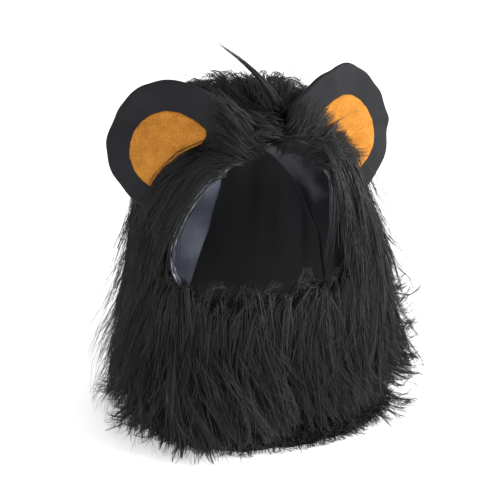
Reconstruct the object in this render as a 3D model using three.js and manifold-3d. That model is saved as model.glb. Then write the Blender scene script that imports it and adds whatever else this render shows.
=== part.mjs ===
// A lion-mane wig for a cat or a small dog, standing on its neck hem: a lined hood of long black faux fur
// with an opening for the face, a rolled fur hem round the neck opening, and two padded ears with fleece
// patches. Sizes are millimetres. The wearer faces -Y and +Z is up. The origin is on the surface that it
// stands on, under the middle of its whole outline. Left and right are the wearer's, so left is +X.

import * as THREE from "three";
import Module from "manifold-3d";
import { mergeVertices } from "three/addons/utils/BufferGeometryUtils.js";

const wasm = await Module();
wasm.setup();

// The hood is measured on the inside of its fur cloth. Below its spring its wall stands upright, and above
// that it closes into a flat-topped dome.
const hood = { halfWidth: 72, halfDepth: 62, height: 212, spring: 86, squareness: 2.4 };
const lean = -8; // how far the soft hood leans to the wearer's right at its crown
const dome = { shoulder: 0.49, rise: 0.8 }; // powers of the cosine and sine along the dome
const clearance = 0.3; // between pieces that are sewn or lie together
const furCloth = { thickness: 2.2 };
const lining = { thickness: 1.2, bottom: 2 };

// The opening for the face, seen from the front, and the shares of it that say how full its curves are.
const face = { halfWidth: 62, top: hood.height - 9, widest: 124, bottom: 96, browDrop: 3 };
const faceCurves = { brow: 0.3, cheek: 0.52, jaw: 0.8, chin: 0.66 };
const binding = { radius: 1.9, sides: 6, gathers: 20, gatherDepth: 0.4 };

const hem = { thickness: 12, height: 13, tufts: 18, tuftLength: 11, tuftWidth: 21, tuftProud: 5 };
// Section of the rolled hem, as shares of its thickness and its height. Its underside is flat.
const hemSection = [
  { out: 0.02, up: 0 },
  { out: 0.86, up: 0 },
  { out: 1, up: 0.36 },
  { out: 0.82, up: 0.84 },
  { out: 0.45, up: 1 },
  { out: 0.02, up: 0.86 },
];

// Depth of the fur at the crown, halfway down and at the hem, and the size of one lock of it.
const fur = { crown: 9, cheek: 13, hem: 29, lockWidth: 32, lockThickness: 6, lowest: 5, rise: 0.5 };
const besideFaceAngle = 10; // degrees that locks keep from the opening and its panel
// Rows of locks, from the crown down. Root and length are shares of the way from the crown to the floor.
const coatRows = [
  { root: 0.03, length: 0.26, locks: 7 },
  { root: 0.17, length: 0.28, locks: 12 },
  { root: 0.33, length: 0.3, locks: 14 },
  { root: 0.5, length: 0.3, locks: 15 },
  { root: 0.66, length: 0.31, locks: 15 },
];
// The fur panel under the face, and its rows. Its locks fall a little towards the wearer's left.
const bib = { halfWidth: 50, sweep: 11, lowest: 15 };
const bibRows = [
  { root: 0.63, length: 0.2, locks: 5 },
  { root: 0.71, length: 0.19, locks: 4 },
  { root: 0.79, length: 0.15, locks: 5 },
];
// The long tuft that stands up from the brow.
const forelock = { angle: 14, root: 0.17, length: 56, width: 12, thickness: 7, lean: -34, back: 14 };

// An ear is a padded half disc. Seat is where the middle of its seam lies: degrees from the front, the
// share of the way down from the crown, and the distance out from the cloth. Its face turns out from the front
// by turn, and it leans out from upright by tilt.
const ear = {
  seat: { angle: 57, down: 0.24, out: -1 },
  turn: 26,
  tilt: 56,
  spread: 45, // half its width along the seam
  height: 47,
  fullness: 2.7, // 2 would be a true half disc, and more is squarer
  thickness: 10,
  edge: 2.6,
  curl: 4, // how far the two sides of the ear come forward
  hollow: 3, // how far its middle is pressed back
  puckers: 5,
  puckerDepth: 0.035, // as a share of the distance from the middle of the seam
  root: 22, // how far the blank runs in below the seam before it is cut to the hood
};
// The fleece inside the ear, as shares of its width and height. It lies outward of the ear's middle.
const patch = { width: 0.61, height: 0.68, outward: 3.5, thickness: 1.8 };

// The two seams of the lining up the back of the hood, as shares of its half width and its height. They
// meet in a narrow strip that runs on over the crown to the brow.
const backSeams = [
  { up: -0.02, right: -0.72, left: 0.8 },
  { up: 0.27, right: -0.5, left: 0.86 },
  { up: 0.47, right: -0.22, left: 0.84 },
  { up: 0.62, right: -0.08, left: 0.68 },
  { up: 0.72, right: -0.04, left: 0.42 },
  { up: 0.8, right: -0.04, left: 0.14 },
  { up: 1.1, right: -0.04, left: 0.06 },
];
const stripBegins = 0.82; // the share of the hood's height from which that strip is cut
// Soft folds of the lining: degrees from the front and half their width in degrees, how deep they come in,
// and the shares of the hood's height between which they run.
const liningFolds = [
  { angle: -150, spread: 26, depth: 3.4, low: 0.05, high: 0.8 },
  { angle: -116, spread: 24, depth: 4.2, low: 0.1, high: 0.86 },
  { angle: -82, spread: 22, depth: 2.8, low: -0.1, high: 0.7 },
  { angle: 172, spread: 18, depth: 2.4, low: 0.3, high: 0.95 },
  { angle: 92, spread: 24, depth: 3.2, low: 0.1, high: 0.75 },
  { angle: 128, spread: 26, depth: 4.4, low: 0.25, high: 0.9 },
  { angle: 30, spread: 26, depth: 2.4, low: -0.1, high: 0.38 },
  { angle: -34, spread: 24, depth: 2.8, low: -0.1, high: 0.38 },
];

const around = 36; // points round the hood
const domeRings = 6;
const wallRings = 3;

const looks = {
  fur: { color: 0x1b1b1d, roughness: 0.62, metalness: 0 },
  satin: { color: 0x3a3f4c, roughness: 0.34, metalness: 0 },
  earCloth: { color: 0x1d1d21, roughness: 0.5, metalness: 0 },
  fleece: { color: 0xc47a26, roughness: 0.95, metalness: 0 },
};

const { degToRad, radToDeg, lerp, clamp } = THREE.MathUtils;
const scatter = (n) => (n * 0.6180339887) % 1; // an even spread of values from 0 to 1
const signedPower = (v, power) => Math.sign(v) * Math.abs(v) ** power;

// The hood's surface

// Half a section through the hood, from the crown to the floor, and the way down to each of its points.
const section = Array.from({ length: 121 }, (_, i) => {
  const climb = (Math.PI / 2) * (1 - i / 120);
  return {
    share: i === 0 ? 0 : Math.cos(climb) ** dome.shoulder,
    z: hood.spring + (hood.height - hood.spring) * Math.sin(climb) ** dome.rise,
  };
});
section.push({ share: 1, z: 0 });
section[0].way = 0;
for (let i = 1; i < section.length; i++) {
  const [a, b] = [section[i - 1], section[i]];
  b.way = a.way + Math.hypot((b.share - a.share) * hood.halfWidth, b.z - a.z);
}
const wayToSpring = section.at(-2).way;
const wayToFloor = section.at(-1).way;

function onSection(way) {
  const found = section.findIndex((point) => point.way >= way);
  const i = found < 0 ? section.length - 1 : Math.max(1, found);
  const [a, b] = [section[i - 1], section[i]];
  const k = Math.min(1, (way - a.way) / (b.way - a.way));
  return { share: lerp(a.share, b.share, k), z: lerp(a.z, b.z, k) };
}

function wayDownTo(z) {
  if (z < hood.spring) return wayToFloor - z;
  return section.find((point) => point.z <= z).way;
}

// A point of the hood, by its degrees from the front, positive to the wearer's left, its way down from the
// crown, and how far it lies out from the inside of the fur cloth.
function hoodPoint(angle, way, out) {
  const { share, z } = onSection(way);
  const power = 2 / hood.squareness;
  const overSpring = Math.max(0, z - hood.spring);
  return new THREE.Vector3(
    (hood.halfWidth + out) * share * signedPower(Math.sin(degToRad(angle)), power),
    -(hood.halfDepth + out) * share * signedPower(Math.cos(degToRad(angle)), power),
    z + (out * overSpring) / (hood.height - hood.spring),
  );
}

// The degrees from the front at which a distance to the side lies.
function angleAt(side, way) {
  const reach = side / (hood.halfWidth * Math.max(0.05, onSection(way).share));
  return radToDeg(Math.asin(Math.min(1, reach) ** (hood.squareness / 2)));
}

// Solids

function solid(positions, triangles) {
  return new wasm.Manifold(
    new wasm.Mesh({
      numProp: 3,
      vertProperties: new Float32Array(positions),
      triVerts: new Uint32Array(triangles),
    }),
  );
}

// A closed skin over rings with as many points each. It runs to a point at each end, or closes on itself.
function skin(ringList, ends) {
  const n = ringList[0].length;
  const points = ringList.flat();
  const triangles = [];
  const rows = ends ? ringList.length - 1 : ringList.length;
  for (let row = 0; row < rows; row++) {
    const next = (row + 1) % ringList.length;
    for (let i = 0; i < n; i++) {
      const j = (i + 1) % n;
      const [a, b, c, d] = [row * n + i, row * n + j, next * n + j, next * n + i];
      triangles.push(a, b, c, a, c, d);
    }
  }
  if (ends) {
    const [first, last] = [points.push(ends.first) - 1, points.push(ends.last) - 1];
    const lastRow = (ringList.length - 1) * n;
    for (let i = 0; i < n; i++) {
      const j = (i + 1) % n;
      triangles.push(first, j, i, last, lastRow + i, lastRow + j);
    }
  }
  let volume = 0;
  for (let i = 0; i < triangles.length; i += 3) {
    const [a, b, c] = [0, 1, 2].map((k) => points[triangles[i + k]]);
    volume += a.dot(b.clone().cross(c));
  }
  const facingOut = volume > 0 ? triangles : triangles.toReversed();
  return solid(points.flatMap((point) => point.toArray()), facingOut);
}

// A prism whose outline is seen from the front, between two depths.
function prism(shape, fromY, toY) {
  const depth = toY - fromY;
  const geometry = new THREE.ExtrudeGeometry(shape, { depth, bevelEnabled: false, curveSegments: 8 });
  geometry.rotateX(Math.PI / 2);
  geometry.translate(0, toY, 0);
  geometry.deleteAttribute("normal");
  geometry.deleteAttribute("uv");
  return welded(geometry);
}

// The solid that a geometry bounds, once points that lie together are one.
function welded(geometry) {
  const merged = mergeVertices(geometry, 1e-3);
  return solid(merged.attributes.position.array, merged.index.array);
}

const joined = (solids) => solids.reduce((all, one) => all.add(one));

function outline(pairs) {
  return new THREE.Shape(pairs.map(([x, z]) => new THREE.Vector2(x, z)));
}

function rectangle(fromX, toX, fromZ, toZ) {
  return outline([[fromX, fromZ], [toX, fromZ], [toX, toZ], [fromX, toZ]]);
}

const beyond = hood.halfDepth * 3; // well outside the hood
const dividing = hood.halfDepth * 0.3; // depth from the middle at which cuts through the front wall end

function hoodRing(way, out) {
  return Array.from({ length: around }, (_, i) => {
    const angle = (360 * i) / around - 180;
    return hoodPoint(angle, way, out(angle, way));
  });
}

// The ways down at which rings are set, close together over the dome and spread down the upright wall.
function ringWays(bottom) {
  const onDome = Array.from({ length: domeRings }, (_, i) => wayToSpring * ((i + 1) / domeRings) ** 0.92);
  const onWall = Array.from({ length: wallRings }, (_, i) =>
    lerp(wayToSpring, wayDownTo(bottom), (i + 1) / wallRings),
  );
  return [...onDome, ...onWall];
}

// A wall of the hood between two surfaces, open at the bottom.
function wall(outer, inner, bottom) {
  const ways = ringWays(bottom);
  const down = ways.map((way) => hoodRing(way, outer));
  const backUp = ways.toReversed().map((way) => hoodRing(way, inner));
  const crown = (out) => new THREE.Vector3(0, 0, hood.height + out(0, 0));
  return skin([...down, ...backUp], { first: crown(outer), last: crown(inner) });
}

// All that lies inside one surface of the hood.
function filled(out) {
  const rings = ringWays(0).map((way) => hoodRing(way, () => out));
  const crown = new THREE.Vector3(0, 0, hood.height + out);
  return skin(rings, { first: crown, last: new THREE.Vector3(0, 0, 0) });
}

// The opening for the face

function faceShape(inward) {
  const side = face.halfWidth - inward;
  const [top, low] = [face.top - inward, face.bottom + inward];
  const cheek = lerp(face.widest, top, faceCurves.cheek);
  const jaw = lerp(low, face.widest, 1 - faceCurves.jaw);
  const [brow, browHeight, chin] = [side * faceCurves.brow, top - face.browDrop, side * faceCurves.chin];
  const shape = new THREE.Shape();
  shape.moveTo(0, top);
  shape.bezierCurveTo(brow, browHeight, side, cheek, side, face.widest);
  shape.bezierCurveTo(side, jaw, chin, low, 0, low);
  shape.bezierCurveTo(-chin, low, -side, jaw, -side, face.widest);
  shape.bezierCurveTo(-side, cheek, -brow, browHeight, 0, top);
  return shape;
}

const faceOutline = faceShape(0).getPoints(16);
const faceCut = prism(faceShape(0), -beyond, 0);

// How far to the side the opening reaches at a height.
function faceReach(z) {
  let reach = 0;
  for (let i = 1; i < faceOutline.length; i++) {
    const [a, b] = [faceOutline[i - 1], faceOutline[i]];
    if (a.y === b.y || (a.y - z) * (b.y - z) > 0) continue;
    reach = Math.max(reach, lerp(a.x, b.x, (z - a.y) / (b.y - a.y)));
  }
  return reach;
}

// Ears

function earAxes(side) {
  const mirror = new THREE.Vector3(side, 1, 1);
  const { angle, down, out } = ear.seat;
  const turn = degToRad(ear.turn);
  const tilt = degToRad(ear.tilt);
  const up = new THREE.Vector3(0, 0, 1);
  const outward = new THREE.Vector3(Math.cos(turn), Math.sin(turn), 0);
  const axis = (upShare, outShare) => {
    const sum = up.clone().multiplyScalar(upShare).addScaledVector(outward, outShare);
    return sum.multiply(mirror);
  };
  return {
    seat: hoodPoint(angle, wayToFloor * down, out).multiply(mirror),
    faces: new THREE.Vector3(Math.sin(turn), -Math.cos(turn), 0).multiply(mirror),
    reach: axis(Math.cos(tilt), Math.sin(tilt)),
    seam: axis(-Math.sin(tilt), Math.cos(tilt)),
  };
}

// Half the ear's width along the seam, and half its thickness, at a height above the seam.
function earWidth(high, grow) {
  const share = clamp(high / (ear.height + grow), 0, 1);
  return (ear.spread + grow) * Math.sqrt(1 - share ** ear.fullness);
}

function earDepth(high, grow) {
  const share = clamp(high / ear.height, 0, 1);
  return lerp(ear.thickness, ear.edge, share ** 2) / 2 + grow;
}

// How far forward the middle of the cupped ear lies.
function earCup(across, high) {
  const [x, y] = [across / ear.spread, Math.max(0, high) / ear.height];
  return ear.curl * x * x + ear.hollow * (y * y - 1) * (1 - x * x);
}

function earFront(across, high) {
  const inside = Math.max(0, 1 - (across / earWidth(high, 0)) ** 2);
  return earCup(across, high) + earDepth(high, 0) * inside ** 0.4;
}

// A body over the ear's half disc, moved outward along its seam. Lift gives the front and the back of it.
function earBody(axes, { width, outward, heights, tip, lift }) {
  const place = (across, high, forward) => {
    const from = Math.hypot(across / ear.spread, Math.max(0, high) / ear.height);
    const turn = Math.atan2(Math.max(0, high), across);
    const pucker = 1 + ear.puckerDepth * Math.min(1, from) ** 4 * Math.cos(2 * ear.puckers * turn);
    return axes.seat
      .clone()
      .addScaledVector(axes.seam, across * pucker)
      .addScaledVector(axes.reach, high > 0 ? high * pucker : high)
      .addScaledVector(axes.faces, forward);
  };
  const points = 18;
  const rings = heights.map((high) =>
    Array.from({ length: points }, (_, i) => {
      const turn = (2 * Math.PI * i) / points;
      const across = outward + width(high) * Math.cos(turn);
      return place(across, high, lift(across, high, Math.sin(turn)));
    }),
  );
  const end = (high) => place(outward, high, lift(outward, high, 0));
  return skin(rings, { first: end(heights[0]), last: end(tip) });
}

function earShell(axes, grow) {
  const shares = [-1, -0.45, 0, 0.25, 0.5, 0.72, 0.88, 0.97];
  const heights = shares.map((k) => k * (k < 0 ? ear.root : ear.height));
  const lift = (across, high, way) => earCup(across, high) + earDepth(high, grow) * signedPower(way, 0.8);
  const width = (high) => earWidth(high, grow);
  return earBody(axes, { width, outward: 0, heights, tip: ear.height + grow, lift });
}

function earPatch(axes, grow) {
  const heights = [-0.3, 0, 0.3, 0.6, 0.82, 0.95].map((k) => k * ear.height * patch.height);
  const tip = ear.height * patch.height + grow;
  const width = (high) => {
    const share = clamp(high / tip, 0, 1);
    return (ear.spread * patch.width + grow) * Math.sqrt(1 - share ** ear.fullness);
  };
  const lift = (across, high, way) => {
    if (way < 0) return earCup(across, high);
    return earFront(across, high) + clearance + (patch.thickness + grow) * lerp(0.55, 1, way);
  };
  return earBody(axes, { width, outward: patch.outward, heights, tip, lift });
}

// How near a point comes to an ear, as the room left round it on each of the ear's axes.
function roomBesideEar(point, axes) {
  const from = point.clone().sub(axes.seat);
  const [across, high, forward] = [axes.seam, axes.reach, axes.faces].map((axis) => from.dot(axis));
  return Math.max(
    Math.abs(across) - ear.spread,
    high - ear.height,
    -ear.root - high,
    Math.abs(forward - earCup(clamp(across, -ear.spread, ear.spread), high)) - ear.thickness / 2,
  );
}

// Fur

const sides = { left: earAxes(1), right: earAxes(-1) };
const outsideCloth = filled(furCloth.thickness + clearance);
const midCloth = filled(furCloth.thickness / 2);

function furDepth(way) {
  const down = clamp(way / wayToFloor, 0, 1);
  return down < 0.5 ? lerp(fur.crown, fur.cheek, down * 2) : lerp(fur.cheek, fur.hem, down * 2 - 1);
}

// A flat tapered lock that leaves the cloth at its root and lies down along the hood. Comb turns it aside.
function lock({ angle, way, length, width, thickness, out, comb }) {
  const place = (along) => {
    const down = way + length * along;
    return { at: comb(angle, down), down, lift: lerp(out.root, out.tip, along ** fur.rise) };
  };
  const point = (along) => {
    const { at, down, lift } = place(along);
    return hoodPoint(at, down, lift);
  };
  const rings = [[0, 0.6], [0.36, 1], [0.72, 0.7]].map(([along, share]) => {
    const { at, down, lift } = place(along);
    const side = hoodPoint(at + 1, down, lift).sub(hoodPoint(at - 1, down, lift)).normalize();
    const outward = hoodPoint(at, down, lift + 1).sub(point(along)).normalize();
    return [[-1, 0], [0, 1], [1, 0], [0, -1]].map(([across, up]) =>
      point(along)
        .addScaledVector(side, (across * width * share) / 2)
        .addScaledVector(outward, (up * thickness * share) / 2),
    );
  });
  return skin(rings, { first: point(0), last: point(1) });
}

// How much of a lock's length lies clear of the ears.
function clearShare({ angle, way, length, out, comb }) {
  for (let along = 0; along <= 1; along += 0.1) {
    const down = way + length * along;
    const point = hoodPoint(comb(angle, down), down, lerp(out.root, out.tip, along ** fur.rise));
    const room = Math.min(...Object.values(sides).map((axes) => roomBesideEar(point, axes)));
    if (room < fur.lockWidth * 0.22) return along;
  }
  return 1;
}

// A row of locks across a range of angles, each a little unlike its neighbours.
function lockRow(row, index, { range, comb, lowest }) {
  const made = [];
  for (let i = 0; i < row.locks; i++) {
    const chance = scatter(i + index * 7 + 1);
    const shift = index % 2 ? 0.25 : 0.75;
    const way = wayToFloor * (row.root + 0.02 * (chance - 0.5));
    const length = Math.min(wayToFloor * row.length * (0.86 + 0.28 * chance), wayDownTo(lowest) - way);
    const tip = furDepth(way + length) * (0.88 + 0.24 * scatter(i * 3 + index));
    const one = {
      angle: lerp(-range, range, (i + shift) / row.locks),
      way,
      length,
      width: fur.lockWidth,
      thickness: fur.lockThickness,
      out: { root: furCloth.thickness * 0.6, tip },
      comb,
    };
    const share = clearShare(one);
    const shortened = { ...one, length: length * share, out: { ...one.out, tip: tip * share } };
    if (share > 0.4) made.push(lock(shortened));
  }
  return made;
}

// Fur of the coat is combed off the face: it passes beside the opening, and then beside the panel under it.
function besideFace(angle, way) {
  const z = onSection(way).z;
  const reach = Math.max(faceReach(Math.min(z, face.top - 1)), z < face.bottom ? bib.halfWidth : 0);
  const least = (angleAt(reach, way) + besideFaceAngle) * Math.min(1, way / wayDownTo(face.top));
  return (angle < 0 ? -1 : 1) * lerp(least, 180, Math.abs(angle) / 180);
}

function overBib(angle, way) {
  const most = angleAt(bib.halfWidth - fur.lockWidth * 0.4, way);
  return clamp(angle + bib.sweep * (way / wayToFloor - bibRows[0].root) * 3, -most, most);
}

function makeForelock() {
  const { angle, lean: aside, back, length } = forelock;
  const root = hoodPoint(angle, wayToFloor * forelock.root, furCloth.thickness / 2);
  const place = (k) => {
    const away = new THREE.Vector3(aside * k ** 1.9, back * (k * k - 0.4 * k), length * k ** 0.9);
    return away.add(root);
  };
  const rings = [[0, 1], [0.35, 0.85], [0.72, 0.5]].map(([k, share]) => {
    const [w, t] = [(forelock.width * share) / 2, (forelock.thickness * share) / 2];
    return [[-w, 0], [0, -t], [w, 0], [0, t]].map(([x, y]) => place(k).add(new THREE.Vector3(x, y, 0)));
  });
  return skin(rings, { first: place(0), last: place(1) });
}

// The rolled hem round the neck opening, with short tufts of fur.
function makeHem(grow) {
  const rings = Array.from({ length: around }, (_, i) =>
    hemSection.map(({ out, up }) => {
      const reach = hem.thickness * out + (out > 0.1 ? grow : 0);
      const high = hem.height * up + (up > 0 ? grow : 0);
      return hoodPoint((360 * i) / around - 180, wayToFloor, reach).setZ(high);
    }),
  );
  const tufts = Array.from({ length: hem.tufts }, (_, i) =>
    lock({
      angle: (360 * (i + 0.4 * scatter(i))) / hem.tufts - 180,
      way: wayDownTo(hem.height * 0.85),
      length: Math.min(hem.tuftLength * (0.8 + 0.3 * scatter(i * 5)), hem.height * 0.75),
      width: hem.tuftWidth + grow * 4,
      thickness: fur.lockThickness * 0.8 + grow * 4,
      out: { root: hem.thickness * 0.5, tip: hem.thickness + hem.tuftProud * (0.5 + 0.5 * scatter(i * 3)) },
      comb: (angle) => angle,
    }),
  );
  return joined([skin(rings), ...tufts]);
}

function makeFur() {
  const backing = wall(
    () => furCloth.thickness,
    () => 0,
    hem.height + clearance,
  ).subtract(faceCut);
  const onCoat = { range: 180, comb: besideFace, lowest: fur.lowest };
  const onBib = {
    range: angleAt(bib.halfWidth - fur.lockWidth * 0.4, wayToFloor),
    comb: overBib,
    lowest: bib.lowest,
  };
  const coatLocks = coatRows.flatMap((row, index) => lockRow(row, index, onCoat));
  const bibLocks = bibRows.flatMap((row, index) => lockRow(row, index, onBib));
  const panel = prism(rectangle(-bib.halfWidth, bib.halfWidth, -1, face.widest), -beyond, -dividing);
  const edge = bib.halfWidth + clearance;
  const besidePanel = prism(rectangle(-edge, edge, -2, face.widest), -beyond, -dividing);
  const hemRoom = makeHem(clearance);
  const trim = (locks) => joined(locks).subtract(midCloth).subtract(hemRoom).subtract(faceCut);

  let coat = trim([...coatLocks, makeForelock()]);
  for (const axes of Object.values(sides)) {
    coat = coat.subtract(earShell(axes, clearance)).subtract(earPatch(axes, clearance));
  }
  return {
    coat: backing.add(coat).subtract(besidePanel),
    bib: backing.intersect(panel).add(trim(bibLocks).intersect(panel)),
  };
}

// Lining

function foldDepth(angle, way) {
  const up = onSection(way).z / hood.height;
  return Math.max(
    0,
    ...liningFolds.map((fold) => {
      const turn = Math.abs(((angle - fold.angle + 540) % 360) - 180) / fold.spread;
      const rise = (up - (fold.low + fold.high) / 2) / ((fold.high - fold.low) / 2);
      return fold.depth * Math.max(0, 1 - turn ** 2) * Math.max(0, 1 - rise ** 2);
    }),
  );
}

// What the middle panel of the lining covers: between the seams up the back, and a strip over the crown.
function gusset(grow) {
  const right = backSeams.map((seam) => [seam.right * hood.halfWidth - grow, seam.up * hood.height]);
  const left = backSeams.map((seam) => [seam.left * hood.halfWidth + grow, seam.up * hood.height]);
  const [topRight, topLeft] = [right.at(-1)[0], left.at(-1)[0]];
  const strip = rectangle(topRight, topLeft, hood.height * stripBegins, hood.height * 1.1);
  return prism(outline([...right, ...left.toReversed()]), 0, beyond).add(prism(strip, -beyond, 1));
}

function makeLining() {
  const outer = (angle, way) => -clearance - foldDepth(angle, way);
  const inner = (angle, way) => outer(angle, way) - lining.thickness;
  const whole = wall(outer, inner, lining.bottom).subtract(faceCut);
  const sidesOnly = whole.subtract(gusset(clearance));
  const half = (from, to) => prism(rectangle(from, to, -1, hood.height * 1.2), -beyond, beyond);
  return {
    centre: whole.intersect(gusset(0)),
    left: sidesOnly.intersect(half(clearance / 2, beyond)),
    right: sidesOnly.intersect(half(-beyond, -clearance / 2)),
  };
}

// The narrow gathered binding just inside the edge of the opening.
function makeBinding() {
  const stations = binding.gathers * 2;
  const path = faceShape(binding.radius + clearance * 2).getSpacedPoints(stations).slice(0, -1);
  const places = path.map(({ x, y: z }) => {
    const { share } = onSection(wayDownTo(z));
    const across = Math.min(1, Math.abs(x) / (hood.halfWidth * share)) ** hood.squareness;
    return new THREE.Vector3(x, -hood.halfDepth * share * (1 - across) ** (1 / hood.squareness), z);
  });
  const rings = places.map((centre, i) => {
    const along = places[(i + 1) % places.length].clone().sub(places.at(i - 1)).normalize();
    const out = new THREE.Vector3(0, -1, 0).cross(along).normalize();
    const up = along.clone().cross(out);
    const radius = binding.radius - binding.gatherDepth * (i % 2);
    return Array.from({ length: binding.sides }, (_, k) => {
      const turn = (2 * Math.PI * k) / binding.sides;
      return centre
        .clone()
        .addScaledVector(out, radius * Math.cos(turn))
        .addScaledVector(up, radius * Math.sin(turn));
    });
  });
  return skin(rings);
}

// Assembly

const group = new THREE.Group();
const leaning = new THREE.Matrix4().makeShear(0, 0, 0, 0, lean / hood.height, 0);

// The triangles of the largest closed surface, without small pockets that overlapping locks may shut in.
function mainSurface(triangles, pointCount) {
  const parent = Array.from({ length: pointCount }, (_, i) => i);
  const rootOf = (i) => {
    while (parent[i] !== i) i = parent[i];
    return i;
  };
  for (let i = 0; i < triangles.length; i += 3) {
    parent[rootOf(triangles[i + 1])] = rootOf(triangles[i]);
    parent[rootOf(triangles[i + 2])] = rootOf(triangles[i]);
  }
  const surfaces = new Map();
  for (let i = 0; i < triangles.length; i += 3) {
    const root = rootOf(triangles[i]);
    if (!surfaces.has(root)) surfaces.set(root, []);
    surfaces.get(root).push(...triangles.slice(i, i + 3));
  }
  return [...surfaces.values()].reduce((most, one) => (one.length > most.length ? one : most));
}

function geometryOf(body) {
  const { vertProperties, triVerts } = body.getMesh();
  const geometry = new THREE.BufferGeometry();
  geometry.setAttribute("position", new THREE.BufferAttribute(vertProperties, 3));
  geometry.setIndex(mainSurface(triVerts, vertProperties.length / 3));
  return geometry;
}

function addPiece(name, body, look) {
  const geometry = geometryOf(welded(geometryOf(body)));
  geometry.applyMatrix4(leaning);
  geometry.computeVertexNormals();
  const mesh = new THREE.Mesh(geometry, new THREE.MeshStandardMaterial(look));
  mesh.name = name;
  group.add(mesh);
}

const coats = makeFur();
addPiece("fur_coat", coats.coat, looks.fur);
addPiece("fur_bib", coats.bib, looks.fur);
addPiece("hem_roll", makeHem(0), looks.fur);

const linings = makeLining();
addPiece("lining_left", linings.left, looks.satin);
addPiece("lining_center", linings.centre, looks.satin);
addPiece("lining_right", linings.right, looks.satin);
addPiece("face_binding", makeBinding(), looks.satin);

for (const [side, axes] of Object.entries(sides)) {
  addPiece(`ear_${side}_shell`, earShell(axes, 0).subtract(outsideCloth), looks.earCloth);
  const fleece = earPatch(axes, 0).subtract(earShell(axes, clearance)).subtract(outsideCloth);
  addPiece(`ear_${side}_inner`, fleece, looks.fleece);
}

const middle = new THREE.Box3().setFromObject(group).getCenter(new THREE.Vector3());
group.position.set(-middle.x, -middle.y, 0);

export default group;
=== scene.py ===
# %% [markdown]
# # A lion-mane wig for a cat or a small dog
#
# The wig is a soft hood of long black faux fur that stands on its own rolled hem. It has an opening for the
# face, a satin lining in three panels, and two padded ears with fleece patches. The solid model gives every
# piece its size and place. This lesson dresses it: sheets of cloth for the lining, padding for the ears,
# and many thousands of fine strands for the fur.

# %% The solid model
import math
import bpy
import numpy as np
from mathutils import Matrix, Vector


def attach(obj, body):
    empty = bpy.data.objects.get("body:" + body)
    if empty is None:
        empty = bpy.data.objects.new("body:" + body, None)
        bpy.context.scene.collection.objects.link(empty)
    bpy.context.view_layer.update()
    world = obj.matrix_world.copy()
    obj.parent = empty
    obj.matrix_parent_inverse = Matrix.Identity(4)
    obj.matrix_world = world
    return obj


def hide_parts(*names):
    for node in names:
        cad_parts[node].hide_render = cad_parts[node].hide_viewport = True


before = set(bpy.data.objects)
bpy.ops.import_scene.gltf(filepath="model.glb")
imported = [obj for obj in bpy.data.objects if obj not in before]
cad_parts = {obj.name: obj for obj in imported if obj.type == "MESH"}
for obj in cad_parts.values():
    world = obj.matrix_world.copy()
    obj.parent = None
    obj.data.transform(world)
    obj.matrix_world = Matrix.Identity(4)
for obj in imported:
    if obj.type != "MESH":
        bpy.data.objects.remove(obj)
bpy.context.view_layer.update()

# %% [markdown]
# ## The hood's own sizes
#
# Fur, cloth and lining all follow one surface, so its sizes are written down once. They are in millimetres,
# as a sewing pattern's would be, and every finished mesh is turned into metres at the end.

# %% Sizes of the hood
HALF_WIDTH, HALF_DEPTH, HEIGHT = 72.0, 62.0, 212.0
SPRING = 86.0  # the height at which the dome begins
SQUARE = 2.4  # 2 would make the hood round, and more makes it squarer
SHOULDER, RISE = 0.49, 0.8  # powers of the cosine and the sine along the dome
LEAN = -8.0 / HEIGHT  # the crown leans 8 mm to the wearer's right
MIDDLE = np.array([2.2448, 0.2132, 0.0])  # from the hood's own middle to that of its outline
CLOTH = 2.2  # thickness of the fur cloth
GAP = 0.3  # between the fur cloth and the lining
# The opening: half its width, and the heights of its top, its widest place and its bottom.
FACE = {"half_width": 62.0, "top": 203.0, "widest": 124.0, "bottom": 96.0}
UP = np.array([0, 0, 1.0])
rng = np.random.default_rng(11)

climb = np.linspace(math.pi / 2, 0, 241)
section_share = np.append(np.cos(climb) ** SHOULDER, 1.0)
section_share[0] = 0.0
section_z = np.append(SPRING + (HEIGHT - SPRING) * np.sin(climb) ** RISE, 0.0)
section_way = np.concatenate(
    [[0.0], np.cumsum(np.hypot(np.diff(section_share) * HALF_WIDTH, np.diff(section_z)))]
)
WAY_TO_FLOOR = section_way[-1]


def share_at(way):
    """How wide the hood is at a way down, as a share of its full width."""
    return np.interp(way, section_way, section_share)


def height_at(way):
    """The height, in millimetres, at a way down."""
    return np.interp(way, section_way, section_z)


def way_to(z):
    """The way down to a height."""
    return np.interp(-np.asarray(z, float), -section_z, section_way)


print("way from the crown to the floor:", round(WAY_TO_FLOOR, 1), "mm")

# %% [markdown]
# Any place on the hood can be named by two numbers: an angle round it from the front, and a way down from
# the crown, measured along the cloth. One function turns the two into a point, and everything that is sewn
# to the hood uses it. A sculpted shell would look the same, but nothing could be laid on it so exactly.

# %% Points of the hood
def signed_power(v, power):
    return np.sign(v) * np.abs(v) ** power


def hood_point(angle, way, out):
    """Degrees from the front, way down from the crown, and distance out from the inside of the fur cloth."""
    angle, way, out = np.broadcast_arrays(np.radians(angle), way, out)
    share, z = share_at(way), height_at(way)
    lift = np.where(z > SPRING, (z - SPRING) * out / (HEIGHT - SPRING), 0.0)
    x = (HALF_WIDTH + out) * share * signed_power(np.sin(angle), 2 / SQUARE)
    y = -(HALF_DEPTH + out) * share * signed_power(np.cos(angle), 2 / SQUARE)
    return np.stack([x, y, z + lift], axis=-1)


def settled(points):
    """The hood leans a little to one side, and stands over the middle of its outline. In metres."""
    moved = points + MIDDLE
    moved[..., 0] += LEAN * points[..., 2]
    return moved * 0.001


def angle_at(across):
    """Degrees from the front of a place on the front half that lies at this share of the half width."""
    return np.degrees(np.sign(across) * np.arcsin(np.minimum(np.abs(across), 1.0) ** (SQUARE / 2)))


def either_side(angle):
    """The same direction, in degrees from -180 on the wearer's right to 180 on the left."""
    return (angle + 180) % 360 - 180


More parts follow.
